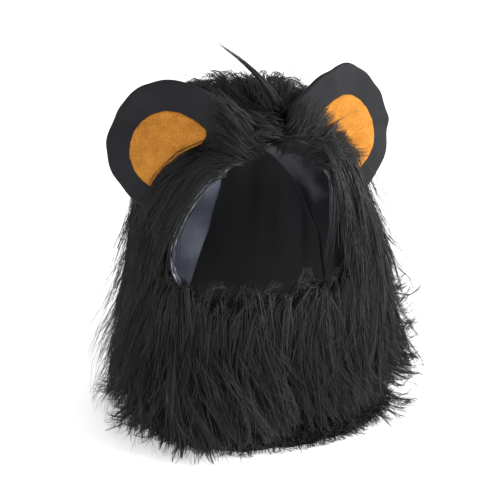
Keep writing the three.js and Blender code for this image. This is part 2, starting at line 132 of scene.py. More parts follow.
print("the cloth is", round(2 * hood_point(90.0, WAY_TO_FLOOR, 0.0)[0]), "mm wide at the floor")

# %% [markdown]
# The opening is cut along one smooth curve, narrow at the brow and wide at the cheeks. Two Bezier curves
# give half of it. It could be cut out of a closed shell, but a curve that can be asked for its place also
# tells the lining, the binding and the hair where to stop. On the wearer's left the brow is pulled a little
# wider than on the right.

# %% The opening for the face
def curve(a, b, c, d, t):
    """A Bezier curve from a to d, drawn towards b and c on its way."""
    return (1 - t) ** 3 * a + 3 * (1 - t) ** 2 * t * b + 3 * (1 - t) * t * t * c + t**3 * d


# How full the curves are at four places, as shares of the opening's half width or of their own height.
ROUNDNESS = {"brow": 0.3, "cheek": 0.52, "jaw": 0.8, "chin": 0.66}
BROW_DROP = 3.0
EDGE_POINTS = 60


def face_outline(inward, count=EDGE_POINTS):
    """One half of the opening's edge, from the brow to the chin, as seen from the front."""
    side = FACE["half_width"] - inward
    top, low, widest = FACE["top"] - inward, FACE["bottom"] + inward, FACE["widest"]
    cheek = widest + (top - widest) * ROUNDNESS["cheek"]
    jaw = low + (widest - low) * (1 - ROUNDNESS["jaw"])
    brow_x, chin_x = side * ROUNDNESS["brow"], side * ROUNDNESS["chin"]
    t = np.linspace(0, 1, count)
    brow_z = top - BROW_DROP
    upper = np.stack([curve(0, brow_x, side, side, t), curve(top, brow_z, cheek, widest, t)], axis=-1)
    lower = np.stack([curve(side, side, chin_x, 0, t), curve(widest, jaw, low, low, t)], axis=-1)
    return np.concatenate([upper, lower[1:]])


# The brow on the wearer's left, where the cloth is drawn aside: across and up, in millimetres.
PULLED_BROW = [(0, 203), (9, 203), (20, 202.4), (27, 200.6)]
PULLED_BROW += [(32, 196), (35.4, 189.5), (38.6, 181), (42.6, 172)]
PULLED_DOWN_TO = 169.0
PULLED_POINTS = 400
SOFTENING = 10  # neighbours on each side over which its corners are rounded


def run_along(line):
    """The length of a line up to each of its points."""
    return np.concatenate([[0], np.cumsum(np.hypot(*np.diff(line, axis=0).T))])


def stretched(outline):
    """The same half of the edge on the wearer's left, where the brow is pulled a little wider."""
    inward = FACE["top"] - outline[0, 1]
    brow = np.array(PULLED_BROW)
    brow[1:, 0] -= inward * 0.6
    brow[:, 1] -= inward
    line = np.concatenate([brow, outline[outline[:, 1] < PULLED_DOWN_TO - inward * 0.5]])
    run = run_along(line)
    even = np.linspace(0, run[-1], PULLED_POINTS)
    line = np.stack([np.interp(even, run, line[:, k]) for k in (0, 1)], axis=-1)
    window = np.ones(2 * SOFTENING + 1) / (2 * SOFTENING + 1)
    padded = [np.pad(line[:, k], SOFTENING, "edge") for k in (0, 1)]
    soft = np.stack([np.convolve(column, window, "valid") for column in padded], axis=-1)
    soft[[0, -1]] = line[[0, -1]]
    return soft


edge = face_outline(0)
left_edge = stretched(edge)


def face_reach(z, side=-1):
    """How far the opening reaches at a height, to the wearer's right or left, and 0 above and below it."""
    line = left_edge if side > 0 else edge
    return np.interp(-np.asarray(z, float), -line[:, 1], line[:, 0], left=0.0, right=0.0)


def edge_angle(z, way, side=-1):
    return angle_at(face_reach(z, side) / np.maximum(HALF_WIDTH * share_at(way), 1e-3))


wide, tall = 2 * edge[:, 0].max(), edge[0, 1] - edge[-1, 1]
print("the opening is", round(wide), "mm wide and", round(tall), "mm high")

# %% [markdown]
# Hair stands off the cloth, so its points have to find their way back to it. From a point's direction this
# step looks up the place of the cloth under it. A ray cast on a mesh would do the same, one point at a
# time, and tables do it for many thousands of points at once.

# %% The hood's surface under a free point
# Along the dome: the direction from its centre, the place there, and the way out of it.
polar_z, polar_r = section_z[:-1] - SPRING, section_share[:-1] * HALF_WIDTH
polar = np.arctan2(polar_z, polar_r)[::-1]
run, rise = np.gradient(section_share[:-1] * HALF_WIDTH), np.gradient(section_z[:-1])
slope = np.hypot(run, rise)
table_r, table_z = polar_r[::-1], section_z[:-1][::-1]
table_nr, table_nz = (-rise / slope)[::-1], (run / slope)[::-1]


def on_hood(points):
    """The nearest place on the hood to each point, and the way out of it."""
    x, y, z = points[..., 0], points[..., 1], points[..., 2]
    share = ((np.abs(x) / HALF_WIDTH) ** SQUARE + (np.abs(y) / HALF_DEPTH) ** SQUARE) ** (1 / SQUARE)
    share = np.maximum(share, 1e-4)
    high = np.maximum(z - SPRING, 0)
    phi = np.arctan2(high, share * HALF_WIDTH)
    r = np.where(high > 0, np.interp(phi, polar, table_r), HALF_WIDTH)
    foot_z = np.where(high > 0, np.interp(phi, polar, table_z), z)
    nr = np.where(high > 0, np.interp(phi, polar, table_nr), 1.0)
    nz = np.where(high > 0, np.interp(phi, polar, table_nz), 0.0)
    scale = r / HALF_WIDTH / share
    foot = np.stack([x * scale, y * scale, foot_z], axis=-1)
    hx = signed_power(x / HALF_WIDTH, SQUARE - 1) / HALF_WIDTH
    hy = signed_power(y / HALF_DEPTH, SQUARE - 1) / HALF_DEPTH
    h = np.hypot(hx, hy) + 1e-9
    normal = np.stack([hx / h * nr, hy / h * nr, nz], axis=-1)
    return foot, normal / np.linalg.norm(normal, axis=-1, keepdims=True)


foot, _ = on_hood(np.array([[90.0, 0.0, 60.0]]))
print("under a point 90 mm to the side the cloth lies at", foot[0].round(1))

# %% [markdown]
# ## Camera, floor and light
#
# The photograph was taken from a little to the wearer's right and above, on a white surface in soft light.
# A long lens keeps the hood's sides nearly parallel. Three large soft lamps and a bright surround give
# black fur the faint grey sheen that lets its locks show.

# %% Camera
AZIMUTH, ELEVATION, DISTANCE = math.radians(-15), math.radians(25), 1.1
LENS = 121.8
LEFT_OF_MIDDLE = 8 / 500  # how far the wig stands to the left in the picture, as a share of its width
AIM_HEIGHT = 108.0
back = Vector(
    (
        math.sin(AZIMUTH) * math.cos(ELEVATION),
        -math.cos(AZIMUTH) * math.cos(ELEVATION),
        math.sin(ELEVATION),
    )
)
bpy.ops.object.select_all(action="DESELECT")
bpy.ops.object.camera_add(location=Vector((MIDDLE[0], MIDDLE[1], AIM_HEIGHT)) * 0.001 + back * DISTANCE)
camera = bpy.context.object
camera.name = "camera"
camera.rotation_mode = "QUATERNION"
camera.rotation_quaternion = (-back).to_track_quat("-Z", "Y")
camera.data.lens = LENS
camera.data.sensor_width = 36
camera.data.shift_x = -LEFT_OF_MIDDLE
bpy.context.scene.camera = camera
print("camera at", [round(v, 3) for v in camera.location])

# %% [markdown]
# The white surface is one large plane, whose edge lies above the picture that the camera takes. The
# strongest lamp stands at the wearer's left and in front, and a weak one opposite keeps the shadows open.
# The surround could be a picture of a studio, but an even white does as well for black fur.

# %% Floor, surround and lamps
bpy.ops.mesh.primitive_plane_add(size=8)
floor = bpy.context.object
floor.name = "floor"

world = bpy.data.worlds.new("surround")
bpy.context.scene.world = world
world.use_nodes = True
sky = world.node_tree.nodes["Background"]
sky.inputs["Color"].default_value = (1.0, 1.0, 1.0, 1.0)
sky.inputs["Strength"].default_value = 0.5
bpy.context.scene.view_settings.view_transform = "Standard"
LAMP_TARGET = Vector((0, 0, 0.1))


def lamp(name, place, size, power):
    bpy.ops.object.light_add(type="AREA", location=place)
    light = bpy.context.object
    light.name = name
    light.data.size = size
    light.data.energy = power
    light.rotation_euler = (LAMP_TARGET - Vector(place)).to_track_quat("-Z", "Y").to_euler()


lamp("key_lamp", (1.5, -0.85, 0.8), 0.7, 54)
lamp("fill_lamp", (-0.9, -1.2, 0.7), 0.9, 8)
lamp("top_lamp", (0.2, 0.3, 1.6), 1.2, 7)

# %% [markdown]
# ## Finishes
#
# A finish is a node tree. Written as plain expressions it is easier to read, so a small class wraps a
# socket and adds the Math nodes, and one method adds any other node.

# %% A class for shader numbers
class Wire:
    """A number that changes over a surface. Arithmetic on it adds Math nodes."""

    def __init__(self, tree, socket):
        self.tree, self.socket = tree, socket

    def math(self, operation, *values):
        node = self.tree.nodes.new("ShaderNodeMath")
        node.operation = operation
        for slot, value in zip(node.inputs, values):
            if isinstance(value, Wire):
                self.tree.links.new(value.socket, slot)
            else:
                slot.default_value = value
        return Wire(self.tree, node.outputs[0])

    def __add__(self, other):
        return self.math("ADD", self, other)

    def __sub__(self, other):
        return self.math("SUBTRACT", self, other)

    def __rsub__(self, other):
        return self.math("SUBTRACT", other, self)

    def __mul__(self, other):
        return self.math("MULTIPLY", self, other)

    __radd__, __rmul__ = __add__, __mul__


# %% [markdown]
# A Principled shader covers cloth, velour and paper alike. A number that stays the same is set on the
# shader's own socket, and a number that changes over the surface comes in through a wire.

# %% A class for finishes
class Finish:
    """A material with a Principled shader, and one method that adds any other node."""

    def __init__(self, name, **values):
        self.material = bpy.data.materials.new(name)
        self.material.use_nodes = True
        self.tree = self.material.node_tree
        self.shader = self.tree.nodes["Principled BSDF"]
        for socket, value in values.items():
            self.shader.inputs[socket.replace("_", " ")].default_value = value

    def node(self, kind, settings, sockets, output=0):
        node = self.tree.nodes.new("ShaderNode" + kind)
        for setting, value in settings.items():
            if setting == "stops":
                ramp = node.color_ramp
                while len(ramp.elements) < len(value):
                    ramp.elements.new(0.5)
                for element, (position, colour) in zip(ramp.elements, value):
                    element.position, element.color = position, (*colour, 1)
            else:
                setattr(node, setting, value)
        for socket, value in sockets.items():
            if isinstance(value, Wire):
                self.tree.links.new(value.socket, node.inputs[socket])
            else:
                node.inputs[socket].default_value = value
        return Wire(self.tree, node.outputs[output])

    def place(self):
        return self.node("TexCoord", {}, {}, "Object")

    def wear(self, socket, wire):
        self.tree.links.new(wire.socket, self.shader.inputs[socket])

    def noise(self, scale, detail=3.0, roughness=0.55, where=None):
        sockets = {"Vector": where or self.place(), "Scale": scale, "Detail": detail, "Roughness": roughness}
        return self.node("TexNoise", {}, sockets, "Fac")

    def bump(self, height, strength, distance):
        sockets = {"Height": height, "Strength": strength, "Distance": distance}
        self.wear("Normal", self.node("Bump", {}, sockets))


# %% [markdown]
# Black fur is almost black in its depth and grey at its tips. A picture of fur would only smear over strands
# this thin, so each strand carries two numbers instead: how far along it a place is, and a tone of its own
# that differs at random from lock to lock. From those two this finish gives the whole coat its depth: the
# darkening towards each root is painted shade, where the pile shades itself. The short undercoat is duller
# and darker, painted shade too, because it lies in the shade.

# %% Fur strands
fur = Finish("long_fur", Roughness=0.46, Specular_IOR_Level=0.42)
along = fur.node("Attribute", {"attribute_name": "along"}, {}, "Fac")
tone = fur.node("Attribute", {"attribute_name": "tone"}, {}, "Fac")
# Painted shade: a strand's colour darkens towards its root, where the pile shades itself; its tone differs at
# random.
shade = tone * (0.35 + along * 0.65)
# The lightest stop, on the tips of the lightest strands, is partly painted highlight.
stops = [(0.0, (0.0012, 0.0012, 0.0014)), (0.5, (0.0048, 0.0049, 0.0056)), (1.0, (0.023, 0.0235, 0.026))]
fur.wear("Base Color", fur.node("ValToRGB", {"stops": stops}, {"Fac": shade}, "Color"))
fur.wear("Roughness", 0.62 - tone * 0.2)
print("fur:", len(fur.tree.nodes), "nodes")

# %% [markdown]
# The wool among the roots is a felted mass. Its strands are too short and too many to build one by one, so
# a fine noise stands for them, both in its colour and in its bumps.

# %% Finish of the undercoat
undercoat = Finish("undercoat", Specular_IOR_Level=0.1)
wool = undercoat.noise(900.0, 4.0)
# Painted shade: the wool is darker than the long hair because it lies in the shade among the roots.
stops = [(0.3, (0.001, 0.001, 0.0012)), (0.8, (0.006, 0.006, 0.0068))]
undercoat.wear("Base Color", undercoat.node("ValToRGB", {"stops": stops}, {"Fac": wool}, "Color"))
undercoat.wear("Roughness", 0.75 + wool * 0.2)
undercoat.bump(wool, 0.8, 0.002)
print("wool:", len(undercoat.tree.nodes), "nodes")


# %% [markdown]
# Satin is woven with long floats that all run one way, so it shines along its folds. The three lining panels
# are one dark satin, and the light that falls into the hood is painted into their colours. The panel on the
# wearer's right, whose inside faces the strongest lamp, has a painted sheen of grey-blue. The one on the left
# has painted light that grows towards the brow. The middle one keeps the satin's own near black. Seen along
# the cloth, the threads glow a little, which is what the sheen does here.

# %% Satin
GLOW = (0.72, 0.8, 1.0, 1.0)
# Painted light: with rise, a panel's colour is lighter above this height and darker below it, lit more
# towards the brow.
PAINTED_LIGHT_ABOVE = 0.16  # metres, for a panel that is lit more towards the brow


def satin(name, stops, roughness, patches=24.0, rise=0.0, sheen=0.0):
    cloth = Finish(name, Specular_IOR_Level=0.5, Sheen_Weight=sheen, Sheen_Roughness=0.35, Sheen_Tint=GLOW)
    lengthwise = cloth.node("Mapping", {}, {"Vector": cloth.place(), "Scale": (1.0, 1.0, 0.12)})
    float_threads = cloth.noise(5200.0, 2.0, where=lengthwise)
    sheen_patches = cloth.noise(patches, 2.0)
    height = cloth.node("SeparateXYZ", {}, {"Vector": cloth.place()}, "Z")
    # Painted sheen and light: the patches and the height term lighten the colour where the satin would shine.
    depth = sheen_patches * 0.8 + float_threads * 0.2 + (height - PAINTED_LIGHT_ABOVE) * rise
    cloth.wear("Base Color", cloth.node("ValToRGB", {"stops": stops}, {"Fac": depth}, "Color"))
    cloth.wear("Roughness", roughness + float_threads * 0.12)
    cloth.bump(float_threads, 0.25, 0.0002)
    return cloth


# Painted sheen: the panel on the wearer's right is dark satin, lightened to slate blue as it would shine in
# the light that falls into the hood.
shine = [(0.38, (0.15, 0.16, 0.215)), (0.5, (0.3, 0.32, 0.4)), (0.62, (0.64, 0.69, 0.81))]
satin_painted_sheen_blue = satin("satin_painted_sheen_blue", shine, roughness=0.24, patches=22.0, sheen=1.0)
night = [(0.3, (0.012, 0.0122, 0.0128)), (0.7, (0.022, 0.0222, 0.0235))]
satin_black = satin("satin_black", night, roughness=0.46)
# Painted light: the panel on the wearer's left is nearly black, and painted grey towards the brow.
grey_painted_light_stops = [(0.36, (0.014, 0.014, 0.017)), (0.64, (0.32, 0.32, 0.35))]
satin_painted_light_grey = satin("satin_painted_light_grey", grey_painted_light_stops, roughness=0.3, rise=4.0)
# Painted glints: the lighter stop stands for the shine on some of the gathered puckers; the darker one is the
# satin's own colour.
edge_glint_stops = [(0.42, (0.02, 0.021, 0.026)), (0.62, (0.15, 0.16, 0.2))]
satin_edge = satin("satin_edge", edge_glint_stops, roughness=0.22, patches=60.0)
print("satins:", [cloth.material.name for cloth in (satin_painted_sheen_blue, satin_black, satin_painted_light_grey, satin_edge)])

# %% [markdown]
# The ears are a short-napped velour, which drinks the light and shows only faint brushed patches. The patches
# in them are a looped fleece in orange: small nubs, painted lighter on top and darker between as painted
# shade in the hollows, under a slight mottling of the dye.

# %% Ear cloth and fleece
ear_cloth = Finish("ear_cloth", Specular_IOR_Level=0.14)
nap = ear_cloth.noise(2600.0, 3.0)
brushed = ear_cloth.noise(38.0, 3.0)
mottle = nap * 0.35 + brushed * 0.65
stops = [(0.3, (0.0065, 0.0066, 0.0078)), (0.72, (0.0155, 0.016, 0.0185))]
ear_cloth.wear("Base Color", ear_cloth.node("ValToRGB", {"stops": stops}, {"Fac": mottle}, "Color"))
ear_cloth.wear("Roughness", 0.55 + nap * 0.2)
ear_cloth.bump(nap, 0.3, 0.0004)

fleece = Finish("ear_fleece", Specular_IOR_Level=0.15)
cells = {"Vector": fleece.place(), "Scale": 950.0}
loops = fleece.node("TexVoronoi", {"feature": "SMOOTH_F1"}, cells, "Distance")
fuzz = fleece.noise(1700.0, 4.0, 0.7)
patches = fleece.noise(120.0, 3.0)
# Painted shade: the colour is darker in the hollows between the nubs, which also give the bumps.
nubs_and_hollow_shade = loops * 0.5 + fuzz * 0.5
depth = nubs_and_hollow_shade * 0.6 + patches * 0.4
stops = [(0.22, (0.20, 0.07, 0.009)), (0.45, (0.40, 0.155, 0.021)), (0.72, (0.58, 0.25, 0.042))]
fleece.wear("Base Color", fleece.node("ValToRGB", {"stops": stops}, {"Fac": depth}, "Color"))
fleece.wear("Roughness", 0.85 + fuzz * 0.12)
fleece.bump(nubs_and_hollow_shade, 0.9, 0.0009)
print("ear cloth:", len(ear_cloth.tree.nodes), "nodes, and fleece:", len(fleece.tree.nodes))

# %% [markdown]
# The surface under the wig is plain white paper. It glows faintly, as paper does under the bright lamps of
# a studio, so that only a soft shadow is left round the hem.

# %% Floor finish
paper = Finish("white_surface", Specular_IOR_Level=0.2, Emission_Color=(1, 1, 1, 1), Emission_Strength=0.42)
grain = paper.noise(400.0)
stops = [(0.0, (0.86, 0.86, 0.865)), (1.0, (0.9, 0.9, 0.905))]
paper.wear("Base Color", paper.node("ValToRGB", {"stops": stops}, {"Fac": grain}, "Color"))
paper.wear("Roughness", 0.6 + grain * 0.1)
floor.data.materials.append(paper.material)
print("finishes:", len(bpy.data.materials))


# %% [markdown]
# ## Sheets of cloth
#
# Each panel is a flat grid of a known number of threads, laid over the hood: every row is a height, and
# every column runs from one of the panel's seams to the other. That keeps seams and edges exact, which
# cutting a finished shell would not. Solidify then gives the cloth its thickness. First come the helpers
# that serve every piece of the wig: they name it, dress it in its finish and move its points.

# %% Helpers for every piece
def finish_piece(piece, name, finish):
    """Names a piece, dresses it in its finish, and lets it ride on the one body of the wig."""
    piece.name = name
    piece.data.name = name
    piece.data.materials.clear()
    piece.data.materials.append(finish.material)
    piece.data.shade_smooth()
    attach(piece, "root")
    return piece


def points_of(piece):
    """The corners of a new primitive, as rows of x, y and z."""
    flat = np.empty(len(piece.data.vertices) * 3)
    piece.data.vertices.foreach_get("co", flat)
    return flat.reshape(-1, 3)


def put_points(piece, points):
    """Moves the corners of a piece to points of the hood."""
    piece.data.vertices.foreach_set("co", settled(points).ravel())
    piece.data.update()


def recalculate_outside():
    """Turns the faces of the piece that was just made outward."""
    bpy.ops.object.mode_set(mode="EDIT")
    bpy.ops.mesh.select_all(action="SELECT")
    bpy.ops.mesh.normals_make_consistent(inside=False)
    bpy.ops.object.mode_set(mode="OBJECT")


# %% [markdown]
# The rows of a sheet lie closer together beside the jaw, where the opening turns sharply. At the chin two
# rows lie almost on one another, and the sheet is closed from there down. Folds are waves added to the
# distance from the hood. A cloth simulation could make them too, but the cloth is held by its seams, and a
# wave stays where it is put.

# %% Laying a grid on the hood
INSIDE = np.array([0.0, 0.0, 0.1])  # a place inside the hood, in metres


def sheet_rows(low):
    """Ways down for the rows of a sheet: closer together by the jaw, and two at the chin itself."""
    chin = FACE["bottom"]
    return np.concatenate(
        [
            np.linspace(1.0, way_to(chin + 24), 40),
            np.linspace(way_to(chin + 23), way_to(chin + 0.02), 26),
            np.linspace(way_to(chin - 0.02), way_to(low), 14),
        ]
    )


def way_of_row(down, low):
    ways = sheet_rows(low)
    return np.interp(1 - down, np.linspace(0, 1, len(ways)), ways)


def lay_sheet(columns, low, place, thickness):
    """A grid whose points go to place(across, down), both from 0 to 1, made as thick as the cloth."""
    bpy.ops.object.select_all(action="DESELECT")
    rows = len(sheet_rows(low)) - 1
    bpy.ops.mesh.primitive_grid_add(x_subdivisions=columns, y_subdivisions=rows, size=2)
    sheet = bpy.context.object
    flat = points_of(sheet)
    put_points(sheet, place((flat[:, 0] + 1) / 2, (flat[:, 1] + 1) / 2))
    face = sheet.data.polygons[len(sheet.data.polygons) // 2]
    if np.dot(face.normal, np.array(face.center) - INSIDE) < 0:
        bpy.ops.object.mode_set(mode="EDIT")
        bpy.ops.mesh.select_all(action="SELECT")
        bpy.ops.mesh.flip_normals()
        bpy.ops.object.mode_set(mode="OBJECT")
    thick = sheet.modifiers.new("thickness", "SOLIDIFY")
    thick.thickness = thickness * 0.001
    thick.offset = -1
    bpy.ops.object.modifier_apply(modifier=thick.name)
    return sheet


def folds(angle, way, table):
    """How far soft folds come in. A row of the table has an angle, a spread, a depth and two heights."""
    deep = np.zeros(np.broadcast(angle, way).shape)
    for centre, spread, depth, low, high in table:
        turn = np.abs((angle - centre + 540) % 360 - 180) / spread
        rise = (height_at(way) - (low + high) / 2) / ((high - low) / 2)
        fold = depth * np.exp(-((turn * 1.6) ** 2)) * np.clip(1 - rise**2, 0, 1)
        deep = np.maximum(deep, fold)
    return deep


print("rows in a sheet:", len(sheet_rows(0.0)))

# %% [markdown]
# ## The lining
#
# Two seams run from the point of the brow over the crown and down the back, and part the lining into a side
# panel on each side and a middle panel between them. Soft folds run down each panel, as the satin is a
# little fuller than the fur cloth it is sewn to.

# %% Where the lining's seams run
seam_up = np.array([-0.02, 0.27, 0.47, 0.62, 0.72, 0.8, 1.1]) * HEIGHT
seam_right = np.array([-0.72, -0.5, -0.22, -0.08, -0.04, -0.04, -0.04]) * HALF_WIDTH
seam_left = np.array([0.8, 0.86, 0.84, 0.68, 0.42, 0.14, 0.06]) * HALF_WIDTH
LINING_LOW = 2.0
LINING_THICKNESS = 0.9
BEHIND_SEAM = 0.7  # how far the satin hangs clear of the cloth
CREASE = 0.55
# Folds: degrees from the front, half their width in degrees, how deep they come in, and where they end.
FOLDS = [
    (-150, 26, 3.4, 10, 170),
    (-116, 24, 4.2, 20, 182),
    (-82, 22, 2.8, -20, 150),
    (172, 18, 2.4, 64, 200),
    (92, 24, 3.2, 20, 160),
    (128, 26, 4.4, 53, 190),
    (30, 26, 2.4, -20, 80),
    (-34, 24, 2.8, -20, 80),
    (-64, 9, 2.2, 60, 190),
    (-96, 10, 2.6, 70, 200),
    (70, 9, 1.8, 60, 185),
]


def seam_angle(x, way):
    """The angle behind the hood at which a seam lies."""
    return 180 - angle_at(x / np.maximum(HALF_WIDTH * share_at(way), 1e-3))


def lining_place(side):
    """The surface of the panel on the wearer's right, -1, in the middle, 0, or on the left, 1."""

    def place(across, down):
        way = way_of_row(down, LINING_LOW)
        z = height_at(way)
        front = np.maximum(edge_angle(z, way, side), 0.03)
        left_seam = seam_angle(np.interp(z, seam_up, seam_left), way)
        right_seam = seam_angle(np.interp(z, seam_up, seam_right), way)
        first, last = {-1: (right_seam, 360 - front), 0: (left_seam, right_seam), 1: (front, left_seam)}[side]
        angle = first + (last - first) * across
        around = np.radians(angle)
        crease = CREASE * np.sin(around * 19 + 0.02 * z) * np.sin(around * 7 + 0.035 * z)
        near_seam = np.clip(np.minimum(across, 1 - across) * 8, 0, 1)
        return hood_point(angle, way, -GAP - BEHIND_SEAM - folds(angle, way, FOLDS) - crease * near_seam)

    return place


def lining_panel(node, side, columns, finish):
    panel = lay_sheet(columns, LINING_LOW, lining_place(side), LINING_THICKNESS)
    finish_piece(panel, node + "_satin", finish)
    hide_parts(node)


lining_panel("lining_left", 1, 60, satin_painted_light_grey)
lining_panel("lining_center", 0, 44, satin_black)
lining_panel("lining_right", -1, 70, satin_painted_sheen_blue)

# %% [markdown]
# ## The binding
#
# The edge of the satin is turned over the edge of the opening and gathered, so it stands up in small
# puckers. It is a ring swept round the opening, whose radius rises and falls with each gather.

# %% The gathered binding
BINDING = {"inset": 2.1, "radius": 1.05, "pucker": 0.3, "gathers": 50}
TUBE = 0.25  # the radius of a new ring's tube, when the ring itself has a radius of 1


def front_depth(x, z):
    share = share_at(way_to(z))
    across = np.minimum(np.abs(x) / (HALF_WIDTH * share), 1.0) ** SQUARE
    return -HALF_DEPTH * share * (1 - across) ** (1 / SQUARE)


bpy.ops.object.select_all(action="DESELECT")
bpy.ops.mesh.primitive_torus_add(major_segments=256, minor_segments=12, major_radius=1, minor_radius=TUBE)
ring = bpy.context.object
half = face_outline(BINDING["inset"], 200)
whole = np.concatenate([stretched(half), (half * [-1, 1])[::-1][1:-1]])
whole = np.concatenate([whole, whole[:1]])
length = run_along(whole)
flat = points_of(ring)
turn = (np.arctan2(flat[:, 1], flat[:, 0]) / (2 * math.pi)) % 1
radial, high = (np.hypot(flat[:, 0], flat[:, 1]) - 1) / TUBE, flat[:, 2] / TUBE


def on_edge(t):
    x, z = (np.interp(t % 1 * length[-1], length, whole[:, k]) for k in (0, 1))
    return np.stack([x, front_depth(x, z), z], axis=-1)


step = on_edge(turn + 0.002) - on_edge(turn - 0.002)
step /= np.linalg.norm(step, axis=1, keepdims=True)
outward = np.cross(np.array([0.0, -1.0, 0.0]), step)
outward /= np.linalg.norm(outward, axis=1, keepdims=True)
forward = np.cross(step, outward)
gather = np.sin(turn * 2 * math.pi * BINDING["gathers"] + 2 * np.sin(turn * 2 * math.pi * 9))
size = BINDING["radius"] + BINDING["pucker"] * gather
put_points(ring, on_edge(turn) + outward * (radial * size)[:, None] + forward * (high * size)[:, None])
recalculate_outside()
finish_piece(ring, "binding", satin_edge)
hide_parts("face_binding")
print("binding:", len(ring.data.polygons), "faces")

# %% [markdown]
# ## The ears
#
# Each ear is a stuffed half disc of black velour, sewn on along its straight side, with a fleece patch let
# into its face. A ball is the simplest closed form with an even skin, so each ear starts as one: it is
# flattened, spread out to the ear's outline, cupped, and folded where the stuffing gives way at the rim.

# %% The ears' axes
EAR = {"spread": 45.0, "height": 47.0, "fullness": 2.7, "thickness": 10.0, "edge": 2.6}
EAR.update({"curl": 4.0, "hollow": 3.0})
EAR_SEAT = {"angle": 57, "down": 0.24, "out": -1}
EAR_TURN, EAR_TILT = math.radians(26), math.radians(56)
RIM_BLUNTNESS = 0.32
PATCH = {"width": 0.61, "height": 0.68, "outward": 3.5, "thickness": 1.8}


def ear_axes(side):
    mirror = np.array([side, 1.0, 1.0])
    outward = np.array([math.cos(EAR_TURN), math.sin(EAR_TURN), 0])
    seat = hood_point(EAR_SEAT["angle"], WAY_TO_FLOOR * EAR_SEAT["down"], EAR_SEAT["out"])
    return {
        "seat": seat * mirror,
        "faces": np.array([math.sin(EAR_TURN), -math.cos(EAR_TURN), 0]) * mirror,
        "reach": (UP * math.cos(EAR_TILT) + outward * math.sin(EAR_TILT)) * mirror,
        "seam": (outward * math.cos(EAR_TILT) - UP * math.sin(EAR_TILT)) * mirror,
    }


def in_ear(points, axes):
    """Across the ear along its seam, up from the seam, and forward out of its face."""
    away = points - axes["seat"]
    return away @ axes["seam"], away @ axes["reach"], away @ axes["faces"]


def ear_cup(across, high):
    x, y = across / EAR["spread"], np.maximum(high, 0) / EAR["height"]
    return EAR["curl"] * x * x + EAR["hollow"] * (y * y - 1) * (1 - x * x)


def ear_width(high):
    return EAR["spread"] * np.sqrt(1 - np.clip(high / EAR["height"], 0, 1) ** EAR["fullness"])


ears = {"left": ear_axes(1), "right": ear_axes(-1)}
print("ears stand", round(EAR["height"]), "mm high")


# %% [markdown]
# Seen from the front, an ear is a half disc that is a little squarer than a circle. It is written as the
# reach from the middle in each direction, since that is how a ball is spread out to it. Where the stuffing
# gives way, shallow folds run in from the rim.

# %% The outline of an ear
def half_disc(spread, height, below, middle):
    """A half disc with a shallow part below its seam, as its reach from the middle in each direction."""
    turn = np.linspace(-math.pi, math.pi, 721)
    rise, wide = np.sin(turn), np.cos(turn)
    above_seam, below_seam = (1 - np.abs(rise) ** EAR["fullness"]) ** 0.5, np.abs(wide) ** 0.25
    across = spread * np.sign(wide) * np.where(rise > 0, above_seam, below_seam)
    high = np.where(rise > 0, height * rise, -below * np.abs(rise) ** 0.8) - middle
    bearing = np.arctan2(high, across)
    order = np.argsort(bearing)
    return bearing[order], np.hypot(across, high)[order]


SHELL_MIDDLE, PATCH_MIDDLE = 14.0, 10.0
BELOW_SEAM, PATCH_BELOW = 23.0, 6.0
patch_spread, patch_height = EAR["spread"] * PATCH["width"], EAR["height"] * PATCH["height"]
shell_outline = half_disc(EAR["spread"], EAR["height"], BELOW_SEAM, SHELL_MIDDLE)
patch_outline = half_disc(patch_spread, patch_height, PATCH_BELOW, PATCH_MIDDLE)


def reach_of(outline, bearing):
    return np.interp(bearing, *outline, period=2 * math.pi)


def towards_rim(across, high):
    """The direction of a place from the ear's middle, and how far it lies on the way to the rim."""
    bearing = np.arctan2(high - SHELL_MIDDLE, across)
    return bearing, np.hypot(across, high - SHELL_MIDDLE) / reach_of(shell_outline, bearing)


def relief(across, high, seed):
    """Soft folds that run in from the rim, and slow waves, forward of the ear's middle surface."""
    bearing, share = towards_rim(across, high)
    wave = np.zeros_like(across)
    for k in range(9):
        centre = math.radians(-20 + 26 * k + 9 * math.sin(seed * 5 + k * 2.1))
        line = (np.angle(np.exp(1j * (bearing - centre))) + 0.12 * (share - 0.7)) / 0.13
        depth = (1.5 if k % 2 else -1.2) * (0.7 + 0.5 * math.sin(seed * 3 + k * 1.7))
        wave += depth * np.exp(-(line**2)) * np.clip((share - 0.42) / 0.6, 0, 1) ** 1.4
    return wave + 0.8 * np.sin(across * 0.11 + seed * 2) * np.cos(high * 0.1 + seed)


def stuffing(share, high):
    """How far the shell's skin stands off its cupped middle surface."""
    thickness = EAR["thickness"] - (EAR["thickness"] - EAR["edge"]) * np.clip(high / EAR["height"], 0, 1) ** 2
    return thickness / 2 * np.clip(1 - share**2, 0, 1) ** RIM_BLUNTNESS


print("an ear reaches", round(reach_of(shell_outline, math.pi / 2)), "mm up from its middle")

# %% [markdown]
# The upper half of the ball becomes the face of the ear, and the lower half its back. The patch is made in
# the same way, and lies on the shell's own front. Two flat cut-outs puffed up by a simulation would do as
# well, but their rim would be less even. Last, no point may sink into the hood.

# %% Shaping a ball into a padded ear
OFF_THE_CLOTH = 1.2


def ball(name, shape, finish):
    """A ball whose points go to shape(bearing, share of the way to the rim, front or back)."""
    bpy.ops.object.select_all(action="DESELECT")
    bpy.ops.mesh.primitive_ico_sphere_add(subdivisions=6, radius=1)
    piece = bpy.context.object
    x, y, z = points_of(piece).T
    share = np.clip(np.arccos(np.clip(np.abs(z), 0, 1)) / (math.pi / 2), 0, 1)
    points = shape(np.arctan2(y, x), share, np.where(z < 0, -1.0, 1.0))
    foot, normal = on_hood(points)
    sunk = np.sum((points - foot) * normal, axis=-1)
    put_points(piece, points + normal * np.maximum(OFF_THE_CLOTH - sunk, 0)[:, None])
    recalculate_outside()
    return finish_piece(piece, name, finish)


def from_ear(axes, across, high, forward):
    return (
        axes["seat"]
        + across[:, None] * axes["seam"]
        + high[:, None] * axes["reach"]
        + forward[:, None] * axes["faces"]
    )


